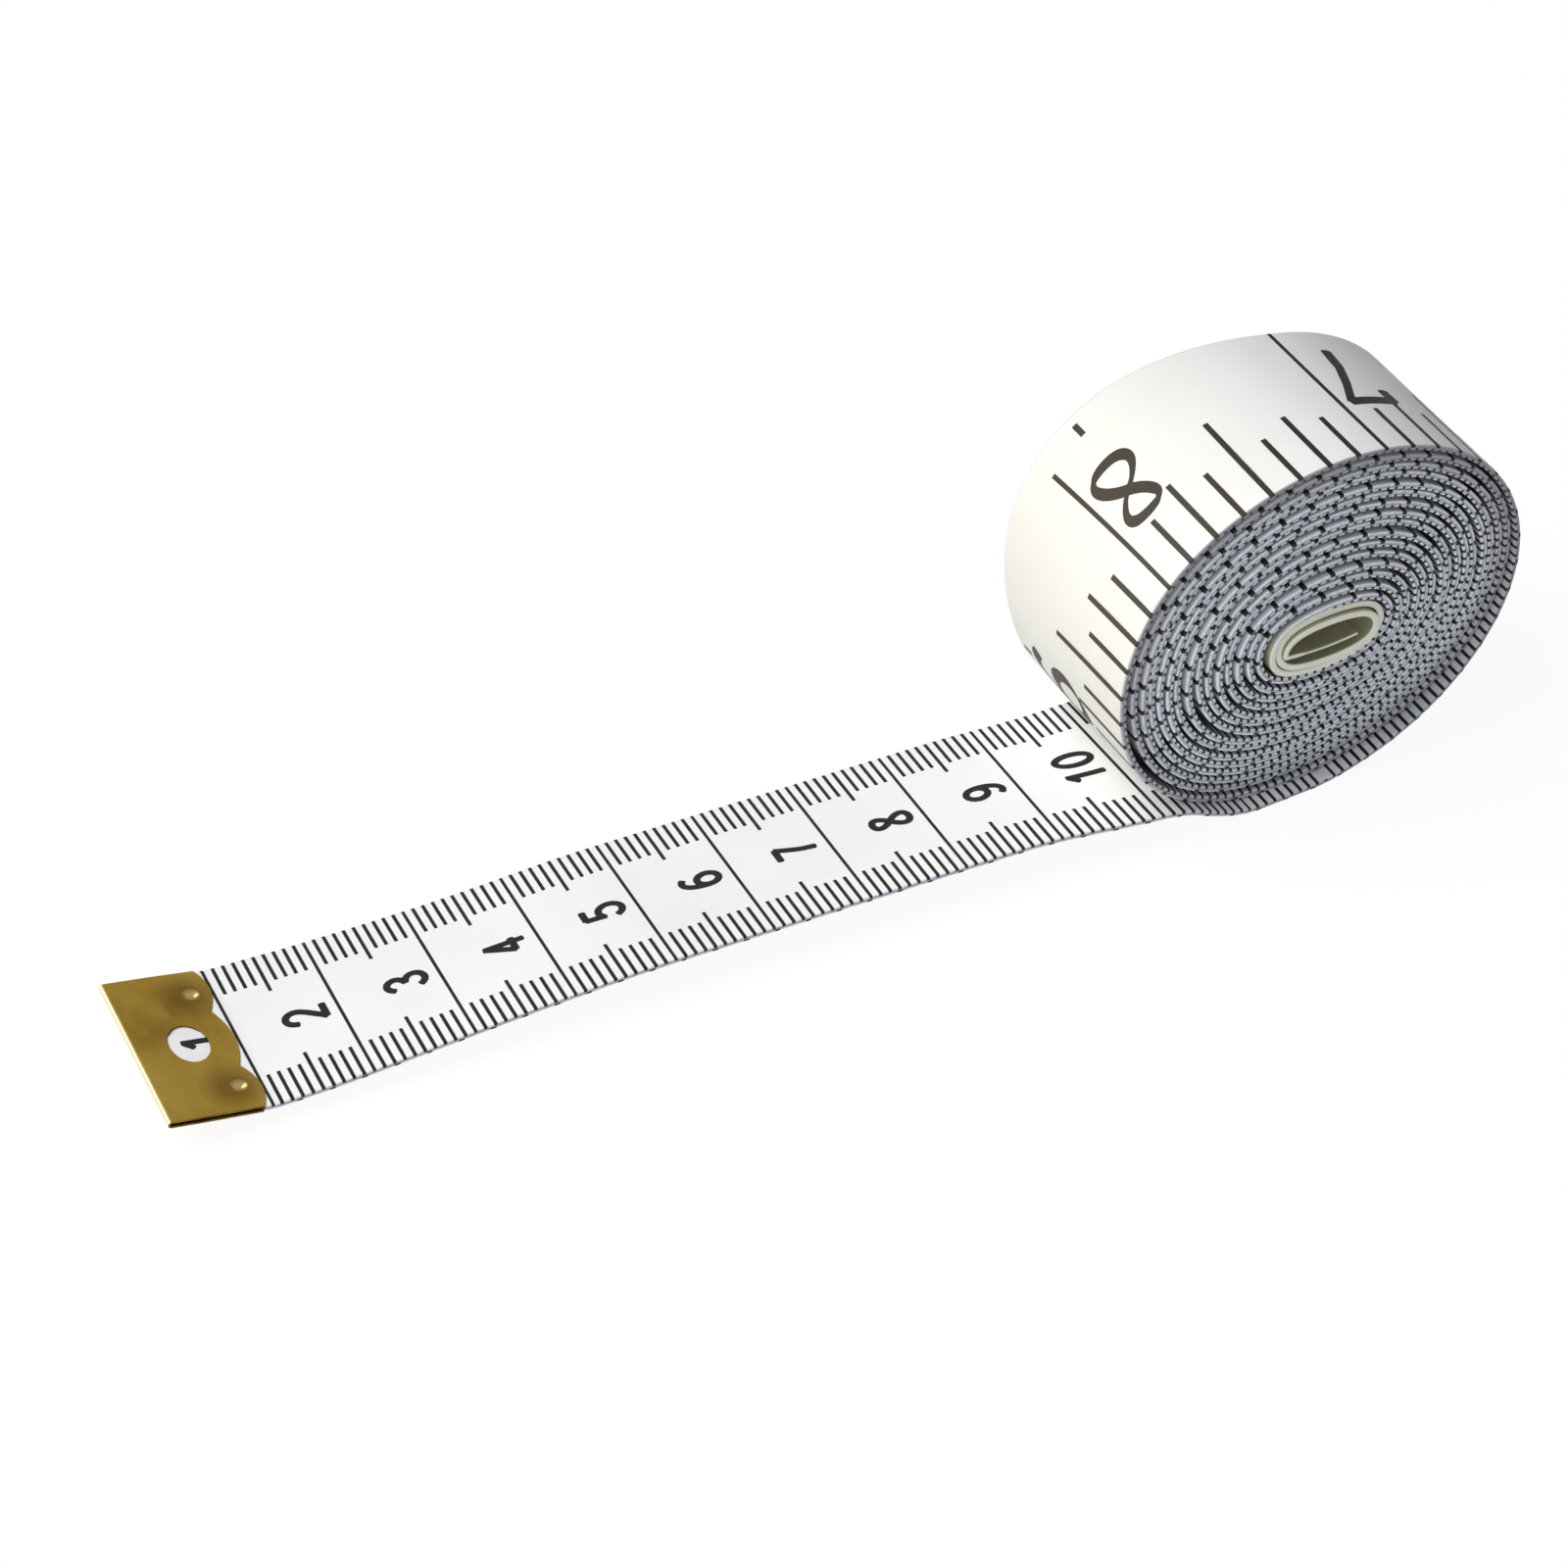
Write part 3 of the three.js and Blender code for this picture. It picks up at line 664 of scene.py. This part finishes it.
def edge_stations(side, face, length):
    """From the rounded corner of one edge inwards on one face; face is 1 for centimetres, -1 for inches."""
    r, corner, slant = EDGE_ROUND, EDGE_CORNER * EDGE_ROUND, math.sqrt(0.5)
    out = [(HALF_WIDTH, HALF_THICKNESS - r - INK_BLEED, 1, 0), (HALF_WIDTH, HALF_THICKNESS - r, 1, 0)]
    out.append((HALF_WIDTH - corner, HALF_THICKNESS - corner, slant, slant))
    flat = [HALF_WIDTH - r, HALF_WIDTH - 3 * r, HALF_WIDTH - length]
    out += [(y, HALF_THICKNESS, 0, 1) for y in flat]
    return [(side * y, face * n, side * oy, face * on) for y, n, oy, on in out]


def line_stations(face):
    """From one edge to the other, round both corners."""
    start, end = edge_stations(-1, face, 1)[:3], edge_stations(1, face, 1)[:3]
    return start + face_stations(face, -HALF_WIDTH, HALF_WIDTH) + end[::-1]


def face_stations(face, low, high):
    inner = [y for y in FACE_STATIONS if low < y < high]
    ends = [y for y in (low, high) if abs(y) < HALF_WIDTH]
    return [(y, face * HALF_THICKNESS, 0, face) for y in sorted(inner + ends)]


def arc(cx, cy, rx, ry, start, stop):
    angles = np.radians(np.linspace(start, stop, max(4, int(abs(stop - start) / 9))))
    return [(cx + rx * math.cos(a), cy + ry * math.sin(a)) for a in angles]


LOWER_BOWL, UPPER_BOWL, BOWL_POWER, WAIST_RISE = 0.5, 0.44, 0.8, 0.03


def figure_eight():
    """One crossing line with a smaller bowl at the top."""
    points = []
    for a in np.linspace(0, 2 * math.pi, 73):
        bowl = LOWER_BOWL if math.cos(a) < 0 else UPPER_BOWL
        turn = math.sin(2 * a)
        x = 0.5 + bowl * math.copysign(abs(turn) ** BOWL_POWER, turn)
        y = 0.5 + WAIST_RISE * math.sin(a) ** 2 + 0.5 * math.cos(a)
        points.append((x, y))
    return points


# Middle lines of the figures in a unit box
SIX = [arc(0.5, 0.3, 0.5, 0.3, 0, 360), [(0, 0.3)] + arc(0.58, 0.42, 0.58, 0.58, 180, 58)]
FIGURES = {
    "0": [arc(0.5, 0.5, 0.5, 0.5, 90, 450)],
    "1": [[(0.2, 0.76), (0.62, 0.97)], [(0.62, 1), (0.62, 0)]],
    "2": [arc(0.5, 0.71, 0.5, 0.29, 178, -22) + [(0.72, 0.42), (0.3, 0.17), (0, 0)], [(0, 0), (1, 0)]],
    "3": [arc(0.46, 0.755, 0.46, 0.245, 162, -90), arc(0.46, 0.255, 0.54, 0.255, 90, -162)],
    "4": [[(0.72, 0), (0.72, 1)], [(0.72, 1), (0, 0.28)], [(0, 0.28), (1, 0.28)]],
    "5": [[(0.92, 1), (0.14, 1)], [(0.14, 1), (0.06, 0.5)], arc(0.44, 0.32, 0.56, 0.32, 140, -158)],
    "6": SIX,
    "7": [[(0, 1), (1, 1)], [(1, 1), (0.72, 0.66), (0.5, 0.33), (0.42, 0)]],
    "8": [figure_eight()],
    "9": [[(1 - x, 1 - y) for x, y in line] for line in SIX],
}
SERIFS = {
    "1": [[(0.3, 0), (0.94, 0)]],
    "2": [[(1, 0), (1, 0.16)]],
    "4": [[(0.45, 0), (0.98, 0)]],
    "7": [[(0, 1), (0.02, 0.8)]],
}


def evenly(line, step):
    """The same line with its points at even steps and its corners eased."""
    along = np.concatenate([[0], np.cumsum(np.hypot(*np.diff(line, axis=0).T))])
    keep = np.linspace(0, along[-1], max(4, math.ceil(along[-1] / step)))
    points = np.stack([np.interp(keep, along, line[:, i]) for i in (0, 1)], -1)
    for _ in range(2):
        points[1:-1] = (points[:-2] + 2 * points[1:-1] + points[2:]) / 4
    return points


def strokes(digit, size, inset, extra):
    """The middle lines of a figure in millimetres, kept half of inset inside its box."""
    width, height = size
    for line in FIGURES[digit] + extra.get(digit, []):
        yield evenly(np.array(line) * (width - inset, height - inset) + inset / 2, STROKE_STEP)


def stroke_outline(points, half):
    """The outline of a stroke of varying half width, with slightly rounded ends."""
    along = np.gradient(points, axis=0)
    along /= np.hypot(*along.T)[:, None]
    side = np.stack([-along[:, 1], along[:, 0]], -1) * half[:, None]
    turn = np.linspace(0, math.pi, 6)[1:-1, None]
    end = points[-1] + np.cos(turn) * side[-1] + STROKE_END * np.sin(turn) * along[-1] * half[-1]
    start = points[0] - np.cos(turn) * side[0] - STROKE_END * np.sin(turn) * along[0] * half[0]
    return np.concatenate([points + side, end, (points - side)[::-1], start])


def sans_pen(points):
    return np.full(len(points), CM_PEN / 2)


def round_pen(points):
    return nib_pen(points, ROUND_THICK)


def nib_pen(points, thick=NIB_THICK):
    """Half widths of a stroke made by a broad nib held at one angle."""
    along = np.gradient(points, axis=0)
    direction = np.arctan2(along[:, 1], along[:, 0])
    return mix(NIB_THIN, thick, np.abs(np.sin(direction - NIB_ANGLE))) / 2


def within(outline, p):
    """Whether the outline winds round the point."""
    x, y = np.array(outline).T
    next_x, next_y = np.roll(x, -1), np.roll(y, -1)
    left = (next_x - x) * (p[1] - y) - (p[0] - x) * (next_y - y)
    up = (y <= p[1]) & (next_y > p[1]) & (left > 0)
    down = (y > p[1]) & (next_y <= p[1]) & (left < 0)
    return bool(np.count_nonzero(up) != np.count_nonzero(down))


def flat_mesh(outlines, holes, spare):
    """Corners, triangles and rim edges of a flat shape, with spare corners so that it can bend."""
    corners, edges = [], []
    for loop in outlines + holes:
        first = len(corners)
        corners += [Vector(p) for p in loop]
        edges += [(first + i, first + (i + 1) % len(loop)) for i in range(len(loop))]
    made = delaunay_2d_cdt(corners + [Vector(p) for p in spare], edges, [], 0, 1e-5)
    points = np.array([tuple(v) for v in made[0]])
    kept = []
    for face in made[2]:
        middle = points[list(face)].mean(0)
        inside = any(within(outline, middle) for outline in outlines)
        if inside and not any(within(hole, middle) for hole in holes):
            kept.append(face)
    used = {v: i for i, v in enumerate(sorted({v for face in kept for v in face}))}
    triangles = [[used[v] for v in face] for face in kept]
    directed = {(f[i], f[(i + 1) % 3]) for f in triangles for i in range(3)}
    rim = sorted((a, b) for a, b in directed if (b, a) not in directed)
    return points[list(used)], triangles, rim


def figure_mesh(digit, size, pen, inset, extra):
    outlines = [stroke_outline(points, pen(points)) for points in strokes(digit, size, inset, extra)]
    columns, rows = [np.arange(FIGURE_PITCH / 2, length, FIGURE_PITCH) for length in size]
    return flat_mesh(outlines, [], [(x, y) for x in columns for y in rows])


def centimetre_figure(digit):
    return figure_mesh(digit, CM_DIGIT, sans_pen, CM_PEN, {})


def inch_figure(digit):
    """The 8 is smaller and rounder than the others."""
    size, pen = (ROUND_DIGIT, round_pen) if digit == "8" else (INCH_DIGIT, nib_pen)
    return figure_mesh(digit, size, pen, INCH_INSET, SERIFS)


CM_FIGURES = {digit: centimetre_figure(digit) for digit in FIGURES}
INCH_FIGURES = {digit: inch_figure(digit) for digit in FIGURES}


def print_centimetres(ink, start, stop):
    for mark in range(max(CM_START, math.ceil(start)), min(CM_END, math.ceil(stop) - 1) + 1):
        if mark % 10 == 0:
            ink.bar(mark, CM_LINE_WIDTH, line_stations(1))
            continue
        length = HALF_CM_TICK if mark % 5 == 0 else MM_TICK
        for side in (-1, 1):
            ink.bar(mark, MM_TICK_WIDTH, edge_stations(side, 1, length))


def print_centimetre_number(ink, number):
    text = str(number)
    for i, digit in enumerate(text):
        points, triangles, rim = CM_FIGURES[digit]
        middle = (i - (len(text) - 1) / 2) * CM_DIGIT_PITCH
        s = number * 10 - DIGIT_TO_LINE - points[:, 1]
        ink.glyph(s, middle + points[:, 0] - CM_DIGIT[0] / 2, 1, triangles, rim)


def print_inches(ink, start, stop):
    eighth = INCH / 8
    for mark in range(max(FIRST_EIGHTH, math.ceil(start / eighth)), math.ceil(min(stop, INCH_END) / eighth)):
        if mark == 8 * SHORT_LINE_INCH:
            corner = edge_stations(-1, -1, 1)[:3]
            ink.bar(mark * eighth, INCH_LINE_WIDTH, corner + face_stations(-1, -HALF_WIDTH, SHORT_LINE_END))
            continue
        if mark % 8 == 0:
            ink.bar(mark * eighth, INCH_LINE_WIDTH, line_stations(-1))
            continue
        length = INCH_TICKS[4 if mark % 4 == 0 else 2 if mark % 2 == 0 else 1]
        ink.bar(mark * eighth, INCH_TICK_WIDTH, edge_stations(-1, -1, length))


def print_stray_marks(ink, start, stop):
    for number in STRAY_MARKS:
        s = number * INCH - STRAY_MARK_TO_LINE
        if start < s < stop:
            ink.bar(s, INCH_TICK_WIDTH, face_stations(-1, *STRAY_MARK_ENDS))


def print_inch_number(ink, number):
    points, triangles, rim = INCH_FIGURES[str(number)]
    s = number * INCH - DIGIT_TO_LINE - points[:, 0].max() + points[:, 0]
    size, middle = (ROUND_DIGIT, ROUND_DIGIT_MIDDLE) if number == 8 else (INCH_DIGIT, INCH_DIGIT_MIDDLE)
    ink.glyph(s, middle + size[1] / 2 - points[:, 1], -1, triangles, rim)


# Tape pieces: one rides with the roll and one spans each bend

BENDS = frame["joints"]
BEND_X = [joint["pos_m"][0] / MM for joint in BENDS]
BEND_PLACES = np.interp(BEND_X, PATH_POINTS[:RUN_STEPS, 0], PATH_S[:RUN_STEPS])
STUB, FREE_END, LAST_BEND_REACH = 6.0, 0.45, 11.0
RUN_STEP, FLAP_STEP, INNER_END_GAP, SECTIONS_PER_TURN = 0.5, 0.8, 0.4, 120
FIGURE_HOLD = 4
LAST_NUMBER_CM, LAST_NUMBER_INCH = 11, 9


def dress(tape, start, stop, hold):
    """Prints one piece of tape and gives the print the same hold as the tape."""
    centimetres, inches = Print(), Print()
    print_centimetres(centimetres, start, stop)
    print_inches(inches, start, stop)
    print_stray_marks(inches, start, stop)
    for number in range(1, LAST_NUMBER_CM + 1):
        if start <= number * 10 - FIGURE_HOLD < stop:
            print_centimetre_number(centimetres, number)
    for number in range(1, LAST_NUMBER_INCH + 1):
        if start <= number * INCH - FIGURE_HOLD < stop:
            print_inch_number(inches, number)
    prints = [centimetres.piece(tape.name + "_cm_print"), inches.piece(tape.name + "_inch_print")]
    for piece in [tape] + prints:
        hold(piece)


def steps_between(start, stop, most):
    """Even steps of at most the given length."""
    return np.linspace(start, stop, 1 + math.ceil((stop - start) / most))


roll_start = BEND_PLACES[0] + STUB
in_coil = PATH_S >= COIL_START
coil_angles = np.arange(0, SWEEP + FOLD_TURN, 2 * math.pi / SECTIONS_PER_TURN)
coil_places = np.interp(coil_angles, PATH_ANGLE[in_coil], PATH_S[in_coil])
before_coil = steps_between(roll_start, coil_places[0], RUN_STEP)[:-1]
after_coil = steps_between(coil_places[-1], PATH_S[-1] - INNER_END_GAP, FLAP_STEP)[1:]
roll_places = np.concatenate([before_coil, coil_places, after_coil])
roll = tape_piece("wound_tape", roll_places)
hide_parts("tape_roll")
dress(roll, roll_start, PATH_S[-1], lambda piece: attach(piece, "roll"))

upper = roll_start
for i, joint in enumerate(BENDS):
    last = i + 1 == len(BENDS)
    lower = FREE_END if last else (BEND_PLACES[i] + BEND_PLACES[i + 1]) / 2
    turn_end = BEND_PLACES[i] - LAST_BEND_REACH if last else lower
    ends = [tuple(place(s, 0, 0)) for s in (upper, turn_end)]
    piece = tape_piece(f"drawn_tape_{i + 1}", steps_between(lower, upper, RUN_STEP))
    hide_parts(f"tape_run_{i + 1}")

    def hold(obj, joint=joint, ends=ends):
        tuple(ends[0])
        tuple(ends[1])
        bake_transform(obj)

    dress(piece, lower, upper, hold)
    upper = lower


# Clips


def rear_edge(length, half_width, scalloped):
    """The rear edge of a leaf from side to side: distances from the fold's nose and places across."""
    if not scalloped:
        return [(length, -half_width), (length, half_width)]
    rear, notch = length - CORNER_CUT, length - NOTCH_DEPTH
    lobe = 2 * length - notch
    stops = [(rear, -half_width), (lobe, -(half_width + NOTCH_PLACE) / 2), (notch, -NOTCH_PLACE), (lobe, 0),
             (notch, NOTCH_PLACE), (lobe, (half_width + NOTCH_PLACE) / 2), (rear, half_width)]
    curve = []
    for a, b, c in zip(stops[0::2], stops[1::2], stops[2::2]):
        t = np.linspace(0, 1, LOBE_STEPS + 1)[:-1, None]
        lobe_points = (1 - t) ** 2 * np.array(a) + 2 * t * (1 - t) * np.array(b) + t * t * np.array(c)
        curve += [tuple(point) for point in lobe_points]
    return curve + [stops[-1]]


def clip_stations(end):
    """Places along the blank, close together round the fold."""
    leaf = np.arange(FOLD_LENGTH / 2 + CLIP_STEP, end - CLIP_STEP / 2, CLIP_STEP)
    fold = np.linspace(-FOLD_LENGTH / 2, FOLD_LENGTH / 2, FOLD_STEPS + 1)
    return np.concatenate([-leaf[::-1], fold, leaf])


def blank_outline(length, width, scalloped):
    rear = [(blank_place(s), y) for s, y in rear_edge(length, width / 2, scalloped)]
    stations = clip_stations(rear[0][0])
    far, near = [(u, width / 2) for u in stations[::-1]], [(u, -width / 2) for u in stations]
    return rear + far + [(-u, y) for u, y in reversed(rear)] + near


def ring(u, y, size_u, size_y, count):
    angles = np.linspace(0, 2 * math.pi, count + 1)[:-1]
    return [(u + size_u * math.cos(a), y + size_y * math.sin(a)) for a in angles]


def window_outline():
    return ring(blank_place(WINDOW_PLACE), 0, WINDOW_LENGTH / 2, WINDOW_WIDTH / 2, WINDOW_CORNERS)


def dimple_corners():
    """Rings of mesh corners round each dimple of both leaves."""
    corners = []
    for u in (blank_place(DIMPLE_PLACE), -blank_place(DIMPLE_PLACE)):
        for y in (-DIMPLE_SPREAD, DIMPLE_SPREAD):
            for radius in np.linspace(*DIMPLE_RINGS) * DIMPLE_RADIUS:
                corners += ring(u, y, radius, radius, DIMPLE_CORNERS)
    return corners


def dimple_depth(u, y):
    depth = np.zeros(len(u))
    for side in (-DIMPLE_SPREAD, DIMPLE_SPREAD):
        away = np.hypot(np.abs(u) - blank_place(DIMPLE_PLACE), y - side) / DIMPLE_RADIUS
        rim = np.exp(-((away - RIM_PLACE) / RIM_SPAN) ** 2)
        depth += DIMPLE_DEPTH * (1 - smooth(away, DIMPLE_FLAT, 1)) - DIMPLE_RIM * rim
    return depth


def folded(points, depth, dent):
    """Bends the blank round the tape's end; depth is out of the middle layer, and dents pass both leaves."""
    u = points[:, 0]
    turn = np.clip(u / CLIP_MIDDLE, -math.pi / 2, math.pi / 2)
    beyond = np.maximum(np.abs(u) - FOLD_LENGTH / 2, 0)
    s = CLIP_SHEET / 2 + CLIP_MIDDLE - (CLIP_MIDDLE + depth) * np.cos(turn) + beyond
    return s, (CLIP_MIDDLE + depth) * np.sin(turn) - dent


def clip_piece(name, length, width, scalloped, tape_map):
    """A sheet folded over the tape's end: a flat blank is meshed, bent round the fold and made thick."""
    across = np.linspace(-width / 2, width / 2, ACROSS_STEPS + 1)[1:-1]
    spare = [(u, y) for u in clip_stations(blank_place(length)) for y in across]
    if scalloped:
        spare += dimple_corners()
    holes = [window_outline()] if scalloped else []
    points, triangles, rim = flat_mesh([blank_outline(length, width, scalloped)], holes, spare)
    dent = dimple_depth(*points.T) if scalloped else 0.0
    layers = []
    for depth in (CLIP_SHEET / 2, -CLIP_SHEET / 2):
        s, n = folded(points, depth, dent)
        layers.append(tape_map(s, points[:, 1], n))
    size = len(points)
    faces = [tuple(f) for f in triangles] + [tuple(size + i for i in reversed(f)) for f in triangles]
    materials = [0] * len(faces) + [1] * len(rim)
    faces += [(a, a + size, b + size, b) for a, b in rim]
    uv = np.concatenate([points, points])
    piece = make_piece(name, np.concatenate(layers), faces, [BRASS, BRASS_EDGE], uv, materials, sharp=35)
    return piece


free_clip = clip_piece("free_end_brass", CLIP_REAR, TAPE_WIDTH, True, place)
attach(free_clip, "run_4")
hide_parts("free_end_clip")


def inner_map(s, y, n):
    """Tape space from the inner end, turned over so that it stays right-handed."""
    return place(PATH_S[-1] - s, y, -n)


inner_clip = clip_piece("inner_end_brass", INNER_CLIP_LENGTH, INNER_CLIP_WIDTH, False, inner_map)
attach(inner_clip, "roll")
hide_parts("inner_end_clip")


# Stage, light and camera

FLOOR_SIZE, FLOOR_GREY, FLOOR_WHITE, FLOOR_WHITE_SHARE = 4.0, 0.8, 1.03, 0.9
CAMERA_TARGET = Vector((-43.28, 12.17, 0.0)) * MM
CAMERA_AZIMUTH, CAMERA_ELEVATION = math.radians(-24.145), math.radians(42.9)
CAMERA_DISTANCE = 450.1 * MM
FOCAL_PIXELS, IMAGE_PIXELS, SENSOR = 4676.0, 1600.0, 36.0
KEY_DIRECTION, KEY_DISTANCE, KEY_SIZE, KEY_POWER = Vector((-0.52, 0.14, 0.84)), 1.2, 0.9, 14.4
WORLD_LEFT, WORLD_RIGHT, WORLD_GLOSS, WORLD_SEEN = 0.46, 0.03, 0.5, 1.08
KEY_COLOUR, KICKER_COLOUR, SKY_COLOUR = (1.0, 0.985, 0.955), (1.0, 1.0, 1.0), (0.93, 0.96, 1.0)
KICKER_DIRECTION, KICKER_SIZE, KICKER_POWER = Vector((-0.62, 0.67, 0.3)), 0.85, 6.6
FILL_DIRECTION, FILL_POWER = Vector((-0.1, -0.95, 0.3)), 2.4


def seen_directly(tree):
    """1 where the camera, a gloss or a clear surface looks straight at the surface."""
    path = tree.nodes.new("ShaderNodeLightPath")
    either = math_node(tree, "MAXIMUM", path.outputs["Is Camera Ray"], path.outputs["Is Glossy Ray"])
    return math_node(tree, "MAXIMUM", either, path.outputs["Is Transmission Ray"])


def make_floor():
    """A pale floor that looks white where it is seen, and keeps the shadow."""
    mesh = bpy.data.meshes.new("floor")
    r = FLOOR_SIZE / 2
    mesh.from_pydata([(-r, -r, 0), (r, -r, 0), (r, r, 0), (-r, r, 0)], [], [(0, 1, 2, 3)])
    floor = bpy.data.objects.new("floor", mesh)
    bpy.context.scene.collection.objects.link(floor)
    material, tree, shader = new_material("white_floor")
    shader.inputs["Base Color"].default_value = (*grey(FLOOR_GREY), 1)
    shader.inputs["Roughness"].default_value = 0.9
    white = add(tree, "ShaderNodeEmission", Strength=FLOOR_WHITE)
    blend = tree.nodes.new("ShaderNodeMixShader")
    share = math_node(tree, "MULTIPLY", seen_directly(tree), FLOOR_WHITE_SHARE)
    tree.links.new(share, blend.inputs[0])
    tree.links.new(shader.outputs[0], blend.inputs[1])
    tree.links.new(white.outputs[0], blend.inputs[2])
    tree.links.new(blend.outputs[0], tree.nodes["Material Output"].inputs["Surface"])
    mesh.materials.append(material)


def make_world():
    """A pale sky, brighter on the left, with a level of its own for gloss and for the background."""
    world = bpy.data.worlds.new("studio")
    world.use_nodes = True
    tree = world.node_tree
    background = tree.nodes["Background"]
    background.inputs["Color"].default_value = (*SKY_COLOUR, 1)
    path = tree.nodes.new("ShaderNodeLightPath")
    towards_sky = tree.nodes.new("ShaderNodeTexCoord")
    parts = tree.nodes.new("ShaderNodeSeparateXYZ")
    tree.links.new(towards_sky.outputs["Generated"], parts.inputs["Vector"])
    across = math_node(tree, "ADD", parts.outputs["X"], 0.5)
    level = ramp(tree, across, [(0.25, grey(WORLD_LEFT)), (0.75, grey(WORLD_RIGHT))])
    for kind, value in (("Is Glossy Ray", WORLD_GLOSS), ("Is Camera Ray", WORLD_SEEN)):
        choice = add(tree, "ShaderNodeMix", data_type="FLOAT")
        choice.inputs["B"].default_value = value
        tree.links.new(level, choice.inputs["A"])
        tree.links.new(path.outputs[kind], choice.inputs["Factor"])
        level = choice.outputs["Result"]
    tree.links.new(level, background.inputs["Strength"])
    bpy.context.scene.world = world


def make_lamp(name, direction, distance, size, power, colour):
    lamp = bpy.data.lights.new(name, "AREA")
    lamp.size, lamp.energy, lamp.color = size, power, colour
    holder = bpy.data.objects.new(name, lamp)
    holder.location = CAMERA_TARGET + direction.normalized() * distance
    holder.rotation_euler = direction.to_track_quat("Z", "Y").to_euler()
    bpy.context.scene.collection.objects.link(holder)
    return holder


def make_camera():
    camera = bpy.data.cameras.new("camera")
    camera.sensor_width = SENSOR
    camera.lens = SENSOR * FOCAL_PIXELS / IMAGE_PIXELS
    camera.clip_start, camera.clip_end = 0.01, 10.0
    holder = bpy.data.objects.new("camera", camera)
    level, rise = math.cos(CAMERA_ELEVATION), math.sin(CAMERA_ELEVATION)
    back = Vector((math.sin(CAMERA_AZIMUTH) * level, -math.cos(CAMERA_AZIMUTH) * level, rise))
    holder.location = CAMERA_TARGET + back * CAMERA_DISTANCE
    holder.rotation_euler = (-back).to_track_quat("-Z", "Y").to_euler()
    bpy.context.scene.collection.objects.link(holder)
    bpy.context.scene.camera = holder


make_floor()
make_world()
key = make_lamp("key", KEY_DIRECTION, KEY_DISTANCE, KEY_SIZE, KEY_POWER, KEY_COLOUR)
key.visible_glossy = False
make_lamp("fill", FILL_DIRECTION, KEY_DISTANCE, KEY_SIZE, FILL_POWER, SKY_COLOUR)
kicker = make_lamp("kicker", KICKER_DIRECTION, KEY_DISTANCE, KICKER_SIZE, KICKER_POWER, KICKER_COLOUR)
kicker.visible_diffuse = False
make_camera()
bpy.context.scene.view_settings.view_transform = "Standard"
